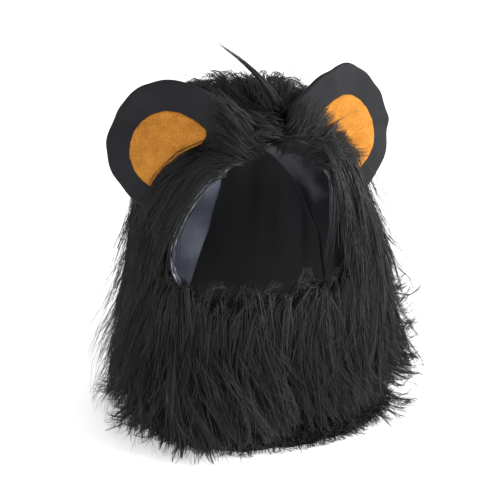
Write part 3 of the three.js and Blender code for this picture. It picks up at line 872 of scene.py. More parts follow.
def make_ear(side, axes, seed):
    def shell_shape(bearing, share, front):
        lumps = 1 + 0.012 * np.sin(bearing * 5 + seed * 2) + 0.007 * np.sin(bearing * 11 + seed * 5)
        out = share * reach_of(shell_outline, bearing) * (1 + (lumps - 1) * share**3)
        across, high = out * np.cos(bearing), SHELL_MIDDLE + out * np.sin(bearing)
        thick = front * stuffing(share, high)
        return from_ear(axes, across, high, ear_cup(across, high) + thick + relief(across, high, seed))

    def patch_shape(bearing, share, front):
        ragged = 1 + 0.004 * np.sin(bearing * 17 + seed) + 0.003 * np.sin(bearing * 41)
        out = share * reach_of(patch_outline, bearing) * ragged
        across, high = PATCH["outward"] + out * np.cos(bearing), PATCH_MIDDLE + out * np.sin(bearing)
        _, on_shell = towards_rim(across, high)
        face = ear_cup(across, high) + stuffing(on_shell, high) + relief(across, high, seed)
        thick = np.where(front > 0, PATCH["thickness"] * np.clip(1 - share**6, 0, 1) ** 0.5, -0.5)
        return from_ear(axes, across, high, face + thick)

    shell = ball(f"ear_{side}_velour", shell_shape, ear_cloth)
    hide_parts(f"ear_{side}_shell")
    inner = ball(f"ear_{side}_fleece", patch_shape, fleece)
    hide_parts(f"ear_{side}_inner")
    print(side, "ear:", len(shell.data.polygons), "and", len(inner.data.polygons), "faces")


make_ear("left", ears["left"], 1.0)
make_ear("right", ears["right"], 2.0)

# %% [markdown]
# ## The fur cloth and its undercoat
#
# Under the long hair the cloth carries a short dense wool. A sheet as thick as that wool fills the dark
# behind the strands, so that no light comes through between them. It thins out towards the edge of the
# opening.

# %% Undercoat
WOOL_LOW = 12.8
WOOL_THICKNESS = 0.8
WOOL_OUT, WOOL_RISE, WOOL_LUMP = 1.0, 0.9, 0.4


def ease(v, low, high):
    """A smooth step from 0 at low to 1 at high."""
    t = np.clip((np.asarray(v, float) - low) / (high - low), 0, 1)
    return t * t * (3 - 2 * t)


def wool_place(across, down):
    way = way_of_row(down, WOOL_LOW)
    z = height_at(way)
    left, right = edge_angle(z, way, 1) + 0.005, edge_angle(z, way) + 0.005
    angle = left + (360 - left - right) * across
    from_edge = np.minimum(across, 1 - across) * (360 - left - right)
    lump = 0.5 + 0.5 * np.sin(angle * 0.31) * np.sin(way * 0.21)
    low_edge = ease(FACE["bottom"] - z, 0, 12)
    thick = np.where(z < FACE["bottom"], low_edge, ease(from_edge, 0, 12))
    return hood_point(angle, way, WOOL_OUT + (WOOL_RISE + lump * WOOL_LUMP) * thick)


wool_coat = lay_sheet(110, WOOL_LOW, wool_place, WOOL_THICKNESS)
finish_piece(wool_coat, "coat_cloth", undercoat)
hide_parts("fur_coat", "fur_bib")
print("undercoat:", len(wool_coat.data.polygons), "faces")

# %% [markdown]
# ## The hem
#
# The neck edge is rolled over and sewn, so the fur bunches into a soft ring that carries the whole wig.

# %% The rolled hem
HEM = {"out": 6.3, "half_width": 5.7, "up": 6.4, "half_height": 6.6, "top": 13.4}


def hem_surface(angle, turn):
    """A point of the roll at an angle from the front and a turn round the roll, and the way out of it."""
    swell = 1 + 0.07 * np.sin(np.radians(angle) * 17) + 0.05 * np.sin(np.radians(angle) * 41 + 1)
    point = hood_point(angle, WAY_TO_FLOOR, HEM["out"] + np.cos(turn) * HEM["half_width"] * swell)
    side = hood_point(angle, WAY_TO_FLOOR, 30.0) - hood_point(angle, WAY_TO_FLOOR, 0.0)
    side /= np.linalg.norm(side, axis=-1, keepdims=True)
    point[..., 2] = np.clip(HEM["up"] + np.sin(turn) * HEM["half_height"] * swell, 0.0, HEM["top"])
    return point, side * np.cos(turn)[..., None] + UP * np.sin(turn)[..., None]


bpy.ops.object.select_all(action="DESELECT")
bpy.ops.mesh.primitive_torus_add(major_segments=240, minor_segments=20, major_radius=1, minor_radius=TUBE)
roll = bpy.context.object
flat = points_of(roll)
turn = np.arctan2(flat[:, 2], np.hypot(flat[:, 0], flat[:, 1]) - 1)
rolled, _ = hem_surface(np.degrees(np.arctan2(flat[:, 1], flat[:, 0])), turn)
put_points(roll, rolled)
recalculate_outside()
finish_piece(roll, "hem_roll_cloth", undercoat)
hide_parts("hem_roll")
print("hem:", len(roll.data.polygons), "faces")

# %% [markdown]
# ## How the fur lies
#
# Fur has a whorl: from one point on the brow the hair is combed away on all sides, over the crown, round
# the ears and down beside the opening. Further down its own weight takes over. One function gives that
# direction anywhere on the hood, and each lock is a path that follows it, while it rises from the cloth to
# its own layer of the pile.

# %% The direction of the pile
WHORL = np.array([9.0, -40.0, 204.0])


def beside_edge(points):
    """How far outside the opening's edge each point of the front lies, and how the edge runs there."""
    x, z = points[..., 0].ravel(), points[..., 2].ravel()
    distance, heading = np.full(len(x), 99.0), np.zeros((len(x), 2))
    for line, here in ((edge, x <= 0), (left_edge[::4], x > 0)):
        gap = np.hypot(np.abs(x[here])[:, None] - line[None, :, 0], z[here][:, None] - line[None, :, 1])
        nearest = np.argmin(gap, axis=1)
        heading[here] = np.gradient(line, axis=0)[nearest]
        distance[here] = gap[np.arange(here.sum()), nearest]
    heading /= np.linalg.norm(heading, axis=1, keepdims=True)
    heading[:, 0] *= np.sign(x + 1e-9)
    distance[points[..., 1].ravel() >= 0] = 99.0
    return distance.reshape(points.shape[:-1]), heading.reshape(*points.shape[:-1], 2)


def pile(points, normals):
    """The direction in which the hair lies at each point, along the cloth."""
    x, y, z = points[..., 0], points[..., 1], points[..., 2]
    away = points - WHORL
    far = np.linalg.norm(away, axis=-1, keepdims=True)
    away = away / np.maximum(far, 1e-6)
    flow = away * (1.15 - 0.8 * ease(far, 40, 150)) - UP * ease(far, 15, 120) * 1.1
    distance, heading = beside_edge(points)
    # Beside the opening the hair runs along its edge.
    along_edge = (1 - ease(distance, 2, 15)) * ease(z, 106, 124) * ease(-y, 5, 20)
    inward = np.where(x > 0, 0.1, 0.12 * ease(z, 160, 190))
    run = np.stack([heading[..., 0] - np.sign(x) * inward, np.zeros_like(x), heading[..., 1]], axis=-1)
    flow = flow * (1 - along_edge[..., None]) + run * along_edge[..., None]
    # At the wearer's left cheek it hangs straight down.
    curtain = ease(x, 22, 34) * ease(-x, -70, -60) * ease(-y, 5, 20) * ease(-z, -194, -182) * ease(z, 98, 118)
    flow = flow * (1 - curtain[..., None]) + np.array([0.04, 0, -1.0]) * curtain[..., None]
    # Below the chin most of it leans to the wearer's left, and meets the rest along a slanting line.
    front = ease(-y, 20, 45) * ease(-z, -100, -88)
    leans_left = ease(14 + (96 - z) * 0.62 - x, -4, 8)
    flow[..., 0] += front * (0.42 * leans_left - 0.16 * (1 - leans_left))
    flow -= normals * np.sum(flow * normals, axis=-1, keepdims=True)
    return flow / np.maximum(np.linalg.norm(flow, axis=-1, keepdims=True), 1e-6)


side_of_hood = hood_point(np.array([90.0]), way_to(np.array([120.0])), 0.0)
print("at the wearer's left side the pile runs along", pile(*on_hood(side_of_hood))[0].round(2))

# %% [markdown]
# The pile is deepest at the sides near the hem, where many layers hang over one another, and shallow under
# the wearer's right ear, where it lies flat. Its ends touch the surface on one side and stop above the hem
# on the other. Both are read off short tables.

# %% How deep and how low the pile hangs
def depth_of_fur(points):
    """How far the outermost hair stands off the cloth: least under the right ear, most by the hem."""
    x, y, z = points[..., 0], points[..., 1], points[..., 2]
    heights = [0, 20, 45, 80, 100, 115, 150, 190, HEIGHT]
    right = np.interp(z, heights, [24, 26, 24, 14, 9, 6, 3, 6, 15])
    left = np.interp(z, heights, [30, 29, 26, 18, 16, 15, 13, 11, 12])
    depth = right + (left - right) * ease(x, -50, 30)
    flatter = ease(-y, 10, 40) * ease(x, -12, 8) * ease(-z, -90, -30)
    return depth * (1 - 0.5 * flatter)


def lowest_hair(angle):
    """The height at which the hair ends: on the surface at the wearer's right, above the hem at the left."""
    return np.interp(angle, [-180, -140, -110, -36, -14, 66, 110, 180], [6, 3, 1.5, 1.5, 19, 19, 8, 6])


print("depth of the fur at the wearer's left side:", depth_of_fur(side_of_hood).round(1), "mm")

# %% [markdown]
# Locks are rooted all over the cloth. Placed by chance alone they would leave bare spots, so they are set out
# like the seeds of a sunflower, and then shaken a little. More roots follow the edge of the opening. A
# scattered root that would lie in the opening or under the seam of an ear is left out.

# %% Roots of the locks
GOLDEN_ANGLE = 137.50776  # in degrees: the turn from one seed to the next on a sunflower's head
EAR_SEAM = {"thick": 5.4, "below": 26, "above": 47}


def scattered_roots(count, top, bottom):
    """Points spread evenly over the cloth between two ways down, as on the seed head of a sunflower."""
    ways = np.linspace(top, bottom, 800)
    girth = share_at(ways) + 0.02
    total = np.concatenate([[0], np.cumsum((girth[1:] + girth[:-1]) / 2)])
    order = (np.arange(count) + 0.5) / count * total[-1]
    way = np.interp(order, total, ways)
    angle = (np.arange(count) * GOLDEN_ANGLE) % 360
    return angle + rng.normal(0, 1.2, count), np.clip(way + rng.normal(0, 1.3, count), top, bottom)


def edge_roots(count, nearest, farthest, top_share, bottom_share, sides=(-1, 1)):
    """Points a little outside the opening's edge, between two shares of the way from brow to chin."""
    side, share_down = rng.choice(sides, count), rng.uniform(top_share, bottom_share, count)
    off = rng.uniform(nearest, farthest, count)
    x, z = np.zeros(count), np.zeros(count)
    for line, here in ((face_outline(0, 150), side < 0), (left_edge, side > 0)):
        run = run_along(line)
        at = share_down[here] * run[-1]
        ahead_x, ahead_z = (np.interp(at, run, np.gradient(line[:, k])) for k in (0, 1))
        size = np.hypot(ahead_x, ahead_z)
        x[here] = np.interp(at, run, line[:, 0]) - ahead_z / size * off[here]
        z[here] = np.interp(at, run, line[:, 1]) + ahead_x / size * off[here]
    way = way_to(np.minimum(z, HEIGHT - 1))
    return angle_at(np.maximum(x, 0) / (HALF_WIDTH * share_at(way))) * side, way


def kept(angle, way, margin):
    """Which roots lie off the opening and off the seams of the ears."""
    z, turn = height_at(way), either_side(angle)
    reach = np.where(turn > 0, edge_angle(z, way, 1), edge_angle(z, way))
    open_here = (np.abs(turn) < reach + margin) & (reach > 0.5)
    points = hood_point(angle, way, CLOTH)
    under_ear = np.zeros(len(angle), bool)
    for axes in ears.values():
        across, high, forward = in_ear(points, axes)
        cup = ear_cup(np.clip(across, -EAR["spread"], EAR["spread"]), high)
        near = np.abs(forward - cup) < EAR_SEAM["thick"]
        near &= (high > -EAR_SEAM["below"]) & (high < EAR_SEAM["above"])
        under_ear |= near & (np.abs(across) < ear_width(high) + 1)
    return ~(open_here | under_ear)


# %% [markdown]
# Blender's own hair curves could be combed by hand, but a comb stroke can't be written down. Here a lock is
# grown in short steps: at each step it follows the direction of the pile, a little to one side, and it
# rises through the pile as it goes. Where its way leads through an ear, it passes in front or behind.

# %% Growing locks
STATIONS = 11
AHEAD_OF_EAR, BEHIND_EAR = 6.3, 14.3


def grow(angle, way, length, layer, swerve, bend, flare, rise):
    """The middle line of each lock, and its side and outward directions."""
    base, normal = on_hood(hood_point(angle, way, 0.0))
    path, sides, outs = [], [], []
    step = length / (STATIONS - 1)
    for k in range(STATIONS):
        t = k / (STATIONS - 1)
        straight = pile(base, normal)
        turn = (swerve + bend * t * t)[:, None]
        side = np.cross(normal, straight)
        flow = straight * np.cos(turn) + side * np.sin(turn)
        # It rises fast at first, towards its layer of the pile, and its tip may flare away from it.
        out = CLOTH + depth_of_fur(base) * layer * (1 - np.exp(-3.4 * t)) + flare * t**2.5
        point = base + normal * out[:, None]
        # Some locks lift before they fall, and none passes below the surface it stands on.
        point[:, 2] += rise * np.sin(math.pi * min(t * 2.0, 1.0)) - 2.5 * layer * t * t
        point[:, 2] = np.maximum(point[:, 2], 0.7 + 1.5 * layer)
        path.append(point)
        sides.append(np.cross(normal, flow))
        outs.append(normal)
        base, normal = on_hood(base + flow * step[:, None])
    return np.stack(path, 1), np.stack(sides, 1), np.stack(outs, 1)


def clear_of_ears(points):
    """Strands that would run through an ear stay on the side of it where they are rooted."""
    for axes in ears.values():
        across, high, forward = in_ear(points, axes)
        cup = ear_cup(np.clip(across, -EAR["spread"], EAR["spread"]), high)
        ahead = np.where(forward[:, :1] > cup[:, :1], 1.0, -1.0)
        beyond = (forward - cup) * ahead
        near = (np.abs(across) < ear_width(high)) & (high > -24) & (high < 46)
        near &= (beyond > -BEHIND_EAR) & (beyond < AHEAD_OF_EAR)
        points = points + np.where(near, (AHEAD_OF_EAR - beyond) * ahead, 0.0)[..., None] * axes["faces"]
    return points


print("each lock is a path of", STATIONS, "places")

# %% [markdown]
# A lock is a bundle. Its strands start round the root, draw together towards the tip, and end at different
# lengths, and a few curl away from the rest. All are kept between the cloth and the longest reach of a
# hair.

# %% Strands of a lock
RINGS = np.array([0.0, 0.3, 0.62, 0.86, 1.0])  # where a strand has a ring, as shares of its length
LEAST_OUT, MOST_OUT = CLOTH * 1.1, 40.0


def strands_of(path, sides, outs, per_lock, spread, gather, curl, shortest, over_ears=False):
    """Strands that start round a lock's root, within its spread, and draw together towards its tip."""
    locks, stations, _ = path.shape
    count = locks * per_lock
    lock = np.repeat(np.arange(locks), per_lock)
    # Each strand has its own share of the length, and its own place in the bundle.
    share = rng.uniform(shortest, 1.04, count)
    ring = np.sqrt(rng.uniform(0, 1, count)) * spread
    turn = rng.uniform(0, 2 * math.pi, count)
    a, b = ring * np.cos(turn), ring * np.sin(turn)
    # Its lock draws together by so much, and the strand itself swings a little, or about one in twelve a lot.
    draw = np.clip(rng.normal(gather, 0.2, locks), 0, 0.92)[lock]
    phase, phase_out = rng.uniform(0, 2 * math.pi, (2, count))
    swing = curl * rng.normal(0, 1, count) * (1 + 2.6 * (rng.uniform(0, 1, count) > 0.92))
    points = []
    for t in RINGS:
        s = np.clip(t * share, 0, 1) * (stations - 1)
        low = np.minimum(s.astype(int), stations - 2)
        f = (s - low)[:, None]
        centre = path[lock, low] * (1 - f) + path[lock, low + 1] * f
        side = sides[lock, low] * (1 - f) + sides[lock, low + 1] * f
        out = outs[lock, low] * (1 - f) + outs[lock, low + 1] * f
        loose = 1 - draw * t**0.8
        offset = side * (a * loose)[:, None] - np.cross(side, out) * (b * (1 - t))[:, None]
        offset += out * (b * loose * 0.35)[:, None]
        offset += side * (swing * t**1.5 * np.sin(phase + 2.4 * t))[:, None]
        offset += out * (swing * 0.6 * t**1.5 * np.cos(phase_out + 2.6 * t))[:, None]
        points.append(centre + offset)
    points = np.stack(points, 1)
    if not over_ears:
        points = clear_of_ears(points)
    foot, normal = on_hood(points)
    out = np.sum((points - foot) * normal, axis=-1)
    points += normal * (np.clip(out, LEAST_OUT, MOST_OUT) - out)[..., None]
    points[..., 2] = np.maximum(points[..., 2], 0.5)
    return points, sides[lock, 0]


print("each strand has", len(RINGS), "rings")

# %% [markdown]
# A hair is a long cone. Three sides are enough for one that is half a millimetre wide, and the tip closes
# in a point. Curves with a round bevel would be heavier, and flat ribbons would vanish when seen from the
# side, so the strands are built straight from arrays, all of a piece in one mesh.

# %% Turning strands into a mesh
CORNERS = (math.pi / 2, math.pi * 7 / 6, math.pi * 11 / 6)
FLATTENED = 0.6


def strand_mesh(name, points, side, width, tone):
    """Each strand is a closed three-sided body that tapers to a point."""
    count, stations, _ = points.shape
    along = np.linspace(0, 1, stations)
    heading = np.gradient(points, axis=1)
    heading /= np.maximum(np.linalg.norm(heading, axis=2, keepdims=True), 1e-9)
    across = side[:, None, :] - heading * np.sum(heading * side[:, None, :], axis=2, keepdims=True)
    across /= np.maximum(np.linalg.norm(across, axis=2, keepdims=True), 1e-9)
    up = np.cross(heading, across)
    taper = np.interp(along, [0, 0.3, 0.75, 1.0], [0.75, 1.0, 0.7, 0.1])
    half = width[:, None] * taper[None, :] / 2
    corners = []
    for turn in CORNERS:
        aside, above = math.cos(turn) * half, math.sin(turn) * half * FLATTENED
        corners.append(points + (across * aside[..., None] + up * above[..., None]))
    body = np.stack(corners, 2)[:, :-1].reshape(count, -1, 3)
    verts = np.concatenate([body, points[:, -1:]], axis=1)
    per = verts.shape[1]
    faces = [(0, 2, 1)]
    for k in range(stations - 2):
        for i in range(3):
            a, b = k * 3 + i, k * 3 + (i + 1) % 3
            faces += [(a, b, b + 3), (a, b + 3, a + 3)]
    last = (stations - 2) * 3
    faces += [(last + i, last + (i + 1) % 3, per - 1) for i in range(3)]
    index = (np.array(faces)[None] + (np.arange(count) * per)[:, None, None]).reshape(-1)
    mesh = bpy.data.meshes.new(name)
    mesh.vertices.add(count * per)
    mesh.vertices.foreach_set("co", settled(verts.reshape(-1, 3)).ravel())
    mesh.loops.add(len(index))
    mesh.loops.foreach_set("vertex_index", index)
    mesh.polygons.add(len(index) // 3)
    mesh.polygons.foreach_set("loop_start", np.arange(len(index) // 3) * 3)
    mesh.update()
    station_of = np.append(np.repeat(along[:-1], 3), 1.0)
    for label, values in (("along", np.tile(station_of, count)), ("tone", np.repeat(tone, per))):
        layer = mesh.attributes.new(label, "FLOAT", "POINT")
        layer.data.foreach_set("value", values.astype(np.float32))
    piece = bpy.data.objects.new(name, mesh)
    bpy.context.scene.collection.objects.link(piece)
    return finish_piece(piece, name, fur)


print("triangles in a strand:", 2 * (len(CORNERS) * (len(RINGS) - 2) + 2))

# %% [markdown]
# ## Combing the coat
#
# Long pile is sewn in tufts, and each tuft dries into a lock whose strands share one bend and meet near the
# tip. Five sets of locks lie along the cloth: an even cover, a denser fringe along the sides of the
# opening, a curtain that hangs straight down at the wearer's left cheek, a fringe under the chin, and
# single wisps that stand away from the rest. Each set fills one list of strands, with the place of every
# root, so that they can be shared out afterwards.

# %% Combing a set of locks
def comb(angle, way, length, layer, swerve=8.0, bend=14.0, flare=2.0, rise=0.0):
    """Grows locks that end no lower than the hair does at their angle."""
    count = len(angle)
    turn, z = either_side(angle), height_at(way)
    room = way_to(lowest_hair(turn) + rng.exponential(3.0, count)) - way
    length = np.clip(length, 4, np.maximum(room * 1.06, 6))
    swerve = np.radians(rng.normal(0, swerve, count))
    bend = np.radians(rng.normal(0, bend, count))
    distance, _ = beside_edge(hood_point(turn, way, 0.0))
    beside = (distance < 14) & (turn < 0) & (z > 100)
    swerve, bend = (np.where(beside, -np.abs(angles) * 0.8, angles) for angles in (swerve, bend))
    flat_front = ease(turn, -20, 0) * ease(-turn, -62, -50)
    loose = 1 + 5 * ease(60 - z, 0, 40) * (1 - flat_front) + 6 * ease(turn, 55, 80)
    flare = flare + rng.exponential(1.0, count) * loose * (1 - ease(np.abs(turn), 120, 140) * 0.5)
    flare *= 1 - 0.7 * ease(-turn, 40, 70) * ease(z, 70, 110)
    flare *= 1 - 0.85 * ease(z, 186, 204)
    return grow(angle, way, length, layer, swerve, bend, flare, rise * np.ones(count))


def own_tone(locks, per_lock, tone, between_locks):
    """A tone for each strand: its lock's own, and a little more or less."""
    lock_tone = np.repeat(rng.normal(tone, between_locks, locks), per_lock)
    return np.clip(lock_tone + rng.normal(0, 0.12, locks * per_lock), 0.02, 1)


def grow_strands(angle, way, length, layer, per_lock, spread, gather, curl, shortest, tone, width, **shape):
    """The strands of a set of locks, with their sides, widths, tones and roots."""
    path, sides, outs = comb(angle, way, length, layer, **shape)
    points, side = strands_of(path, sides, outs, per_lock, spread, gather, curl, shortest)
    own = own_tone(len(angle), per_lock, tone, 0.24)
    widths = rng.uniform(*width, len(points))
    return points, side, widths, own, np.repeat(angle, per_lock), np.repeat(way, per_lock)


sets = []

# %% [markdown]
# The first set covers the whole cloth. Its locks are longest half-way up and shorter at the crown and the
# hem, and each lies in a layer of its own between the cloth and the outermost hair.

# %% An even cover
angle, way = scattered_roots(2010, top=2.0, bottom=float(way_to(15.0)))
keep = kept(angle, way, 0.6)
angle, way = angle[keep], way[keep]
z = height_at(way)
typical = np.interp(z, [12, 40, 90, 150, 200, HEIGHT], [36, 52, 82, 84, 58, 48])
length = typical * rng.uniform(0.8, 1.2, len(z))
layer = rng.beta(1.6, 1.0, len(z))
look = {"per_lock": 11, "spread": 5.0, "gather": 0.66, "curl": 1.0, "shortest": 0.7, "tone": 0.5}
sets.append(grow_strands(angle, way, length, layer, **look, width=(0.42, 0.75), swerve=11.0, bend=20.0))
print("locks in the even cover:", len(angle))

# %% [markdown]
# Three more sets follow the edge of the opening. The fringe at its sides is fine and nearly straight, the
# curtain at the wearer's left cheek is longer and looser, and the fringe under the chin lifts before it
# falls.

# %% Fringes along the opening
FRINGE = {"sides": 240, "curtain": 190, "chin": 130}
angle, way = edge_roots(FRINGE["sides"], nearest=0.6, farthest=7.0, top_share=0.0, bottom_share=0.62)
angle = angle - 2.2 * (angle < -12)
layer = rng.uniform(0.05, 0.5, len(way))
length = rng.uniform(30, 58, len(way))
look = {"per_lock": 9, "spread": 3.0, "gather": 0.5, "curl": 0.7, "shortest": 0.6, "tone": 0.5}
sets.append(grow_strands(angle, way, length, layer, **look, width=(0.4, 0.7), swerve=4.0, bend=8.0))

left_only = {"top_share": 0.13, "bottom_share": 0.52, "sides": (1,)}
angle, way = edge_roots(FRINGE["curtain"], nearest=0.2, farthest=7.0, **left_only)
z = height_at(way)
layer = rng.uniform(0.25, 0.8, len(way))
length = np.clip((z - 92) * rng.uniform(0.6, 1.1, len(way)), 26, 96)
look = {"per_lock": 9, "spread": 3.6, "gather": 0.35, "curl": 1.8, "shortest": 0.6, "tone": 0.55}
sets.append(grow_strands(angle, way, length, layer, **look, width=(0.4, 0.7), swerve=6.0, bend=12.0))

angle, way = edge_roots(FRINGE["chin"], nearest=0.3, farthest=9.0, top_share=0.62, bottom_share=1.0)
layer = rng.uniform(0.25, 0.75, len(way))
length = rng.uniform(34, 62, len(way))
look = {"per_lock": 9, "spread": 3.6, "gather": 0.45, "curl": 1.6, "shortest": 0.6, "tone": 0.55}
sets.append(grow_strands(angle, way, length, layer, **look, width=(0.4, 0.7), bend=22.0, rise=5.0))
print("locks along the opening:", sum(FRINGE.values()))

# %% [markdown]
# Single wisps stand a little away from the locks and wander more than they do. They are what makes fur look
# soft. Any that would wave across the open face are left out.

# %% Single wisps
angle, way = scattered_roots(1500, top=2.0, bottom=float(way_to(20.0)))
keep = kept(angle, way, 3.0)
angle, way = angle[keep], way[keep]
layer = rng.uniform(0.7, 1.5, len(way))
length = rng.uniform(40, 84, len(way))
look = {"per_lock": 1, "spread": 1.0, "gather": 0.0, "curl": 5.0, "shortest": 0.9, "tone": 0.6}
wisps = grow_strands(angle, way, length, layer, **look, width=(0.25, 0.4), swerve=20.0, bend=40.0, flare=4.0)
x, y, z = np.moveaxis(wisps[0], 2, 0)
inside = (y < 0) & (np.abs(x) < np.where(x > 0, face_reach(z, 1) - 12, face_reach(z) - 2))
sets.append(tuple(column[~inside.any(axis=1)] for column in wisps))
print("wisps:", len(sets[-1][0]))

# %% [markdown]
# Some locks don't lie down along the cloth. Those at the brow stand up before they fall over the seams of
# the ears, and those beside the wearer's left cheek arch across the corner of the opening. Each is a bow
# from its root to the place where it comes to rest.

# %% Locks that arch
def arched_strands(root, crest, end, per_lock, spread, curl, over_ears=False, width=(0.4, 0.7)):
    """Strands along bows that leave the root, rise towards the crest and come down at the end."""
    t = np.linspace(0, 1, STATIONS)[None, :, None]
    path = (1 - t) ** 2 * root[:, None] + 2 * t * (1 - t) * crest[:, None] + t * t * end[:, None]
    heading = np.gradient(path, axis=1)
    heading /= np.linalg.norm(heading, axis=2, keepdims=True)
    _, outs = on_hood(path)
    sides = np.cross(outs, heading)
    sides /= np.maximum(np.linalg.norm(sides, axis=2, keepdims=True), 1e-6)
    bundle = {"gather": 0.4, "curl": curl, "shortest": 0.6, "over_ears": over_ears}
    points, side = strands_of(path, sides, outs, per_lock, spread, **bundle)
    own = own_tone(len(root), per_lock, 0.4, 0.22)
    foot, _ = on_hood(np.repeat(root, per_lock, axis=0))
    angle = np.degrees(np.arctan2(foot[:, 0] / HALF_WIDTH, -foot[:, 1] / HALF_DEPTH))
    return points, side, rng.uniform(*width, len(points)), own, angle, way_to(foot[:, 2])


def bows(x, z, crest_up, crest_out, angle_on, way_on, out_on):
    """Bows that start on the front at x and z, and end some degrees and millimetres further on."""
    way = way_to(z)
    angle = angle_at(x / HALF_WIDTH / share_at(way))
    root = hood_point(angle, way, CLOTH)
    end = hood_point(angle + angle_on, way + way_on, out_on)
    _, normal = on_hood(root)
    crest = (root + end) / 2 + normal * crest_out[:, None] + UP * crest_up[:, None]
    return root, crest, end


# %% [markdown]
# The ears are sewn on over the fur, and their seams are hidden by the hair in front of them. Each bow
# starts between the whorl and the ear, and ends on the ear's face at the height up to which the fur covers
# it.

# %% Over the seams of the ears
# How high each seam is covered: places across the ear, and the heights of the hair there.
covered = {
    "left": ([-52, -34, -19, 16, 33], [1, 5, 11, 11, 15]),
    "right": ([-52, -45, -34, -23, 30], [12, 8, 1, -5, 2]),
}
for side, axes in ears.items():
    count = 170
    inner_end = rng.uniform(0, 1, count) < 0.55
    across = np.where(inner_end, rng.uniform(-54, -26, count), rng.uniform(-26, 28, count))
    high = np.interp(across, *covered[side]) - rng.exponential(5.0, count)
    end = from_ear(axes, across, high, ear_cup(across, high) + rng.uniform(6.5, 10, count))
    start = from_ear(axes, across * 0.8 - 10, np.full(count, -24.0), rng.uniform(4, 16, count))
    root, normal = on_hood(start + (WHORL - start) * rng.uniform(0.15, 0.85, count)[:, None])
    crest = (root + end) / 2
    crest = crest + axes["faces"] * rng.uniform(3, 9, (count, 1)) + normal * rng.uniform(3, 9, (count, 1))
    look = {"per_lock": 9, "spread": 3.6, "curl": 1.4}
    sets.append(arched_strands(root + normal * CLOTH, crest, end, **look, over_ears=True))
    print("bows over the seam of the", side, "ear:", count)

# %% [markdown]
# The pile parts at one whorl above the brow, as hair does on a crown. Tufts leave it in every direction,
# and others cross from one side of it to the other, so that the cloth doesn't show between the two thick
# masses beside the ears.

# %% Around the whorl
count = 44
turn = rng.uniform(-2.6, 2.6, count)
level = np.zeros(count)
root, normal = on_hood(WHORL + np.stack([6 * np.sin(turn), rng.uniform(-6, 8, count), level], axis=-1))
far = rng.uniform(16, 40, count)
away = np.stack([far * np.sin(turn), np.maximum(far * np.cos(turn), -4), level], axis=-1)
end, normal_end = on_hood(root + away)
end = end + normal_end * rng.uniform(5, 10, (count, 1))
crest = (root + end) / 2 + normal * rng.uniform(8, 15, (count, 1)) + [0, -3, 0]
sets.append(arched_strands(root + normal * CLOTH, crest, end, per_lock=9, spread=3.4, curl=1.6))
print("bows round the whorl:", count)

count = 46
side, level = rng.choice([-1, 1], count), np.zeros(count)
beside = np.stack([side * rng.uniform(1, 10, count), rng.uniform(-6, 5, count), level], axis=-1)
root, normal = on_hood(WHORL + beside)
across = -side * rng.uniform(8, 26, count)
over = np.stack([across, rng.uniform(-5, 6, count), rng.uniform(-6, 4, count)], axis=-1)
end, normal_end = on_hood(WHORL + over)
end = end + normal_end * rng.uniform(11, 17, (count, 1))
crest = (root + end) / 2 + normal * rng.uniform(12, 20, (count, 1)) + [0, -4, 0]
sets.append(arched_strands(root + normal * CLOTH, crest, end, per_lock=9, spread=3.6, curl=1.6))
print("bows across the whorl:", count)

# %% [markdown]
# At the wearer's left cheek the pile arches over the corner of the opening. Under the chin it stands up
# from the edge, leans over to the wearer's right and falls down the front, which is why the lower edge of
# the opening looks ragged.

# %% Across the edge of the opening
count = 110
z = rng.uniform(99, 138, count)
x = face_reach(z, 1) + rng.uniform(0.5, 6, count)
spans = bows(
    x,
    z,
    crest_up=rng.uniform(14, 26, count),
    crest_out=rng.uniform(5, 10, count),
    angle_on=-rng.uniform(20, 42, count),
    way_on=rng.uniform(18, 38, count),
    out_on=rng.uniform(7, 14, count),
)
sets.append(arched_strands(*spans, per_lock=9, spread=3.2, curl=1.8))
print("bows at the wearer's left cheek:", count)

count = 190
x = rng.uniform(-56, 54, count)
jaw = edge[EDGE_POINTS - 1 :][::-1]
low = np.interp(np.abs(x), jaw[:, 0], jaw[:, 1])
wild = np.where(rng.uniform(0, 1, count) < 0.1, 1.5, 1.0)
fall = rng.uniform(22, 60, count)
spans = bows(
    x,
    low - rng.uniform(0.5, 8, count),
    crest_up=(42 + 12 * ease(x, -10, 45)) * rng.uniform(0.7, 1.12, count) * wild + fall / 2,
    crest_out=rng.uniform(3, 9, count),
    angle_on=rng.normal(-6, 11, count) - 6 * ease(x, 0, 40),
    way_on=fall,
    out_on=rng.uniform(8, 15, count),
)
sets.append(arched_strands(*spans, per_lock=8, spread=3.2, curl=1.8))
print("bows under the chin:", count)

# %% [markdown]
# Some tufts at the sides have been pressed the wrong way and hook upward at their tips, so each is a bow
# that sinks first and ends higher than its crest. They break the outline against the background.

# %% Hooked locks at the sides
# Each group: its middle and breadth in degrees from the front, its lowest and highest root, and how many.
hooked = ((86, 30, 22, 92, 100), (-84, 30, 8, 26, 30), (56, 16, 9, 18, 12))
for middle, breadth, low, high, count in hooked:
    angle = rng.normal(middle, breadth / 2, count)
    way = way_to(rng.uniform(low, high, count))
    root, normal = on_hood(hood_point(angle, way, 0.0))
    across = np.cross(normal, UP) * rng.normal(0, 12, (count, 1))
    far = rng.uniform(28, 40, (count, 1))
    crest = root + normal * far * 0.85 + across * 0.4 + UP * rng.uniform(-34, -20, (count, 1))
    end = root + normal * far + across + UP * rng.uniform(-18, 4, (count, 1))
    crest[:, 2], end[:, 2] = np.maximum(crest[:, 2], 2.0), np.maximum(end[:, 2], 2.5)
    sets.append(arched_strands(root + normal * CLOTH, crest, end, per_lock=6, spread=2.4, curl=2.2))
    print("hooked locks round", middle, "degrees:", count)

# %% [markdown]
# A few long fine strands hang clear of the sides. Their ends stand between 3 and 20 mm outside the rest of
# the fur there, and they soften the outline against the background.

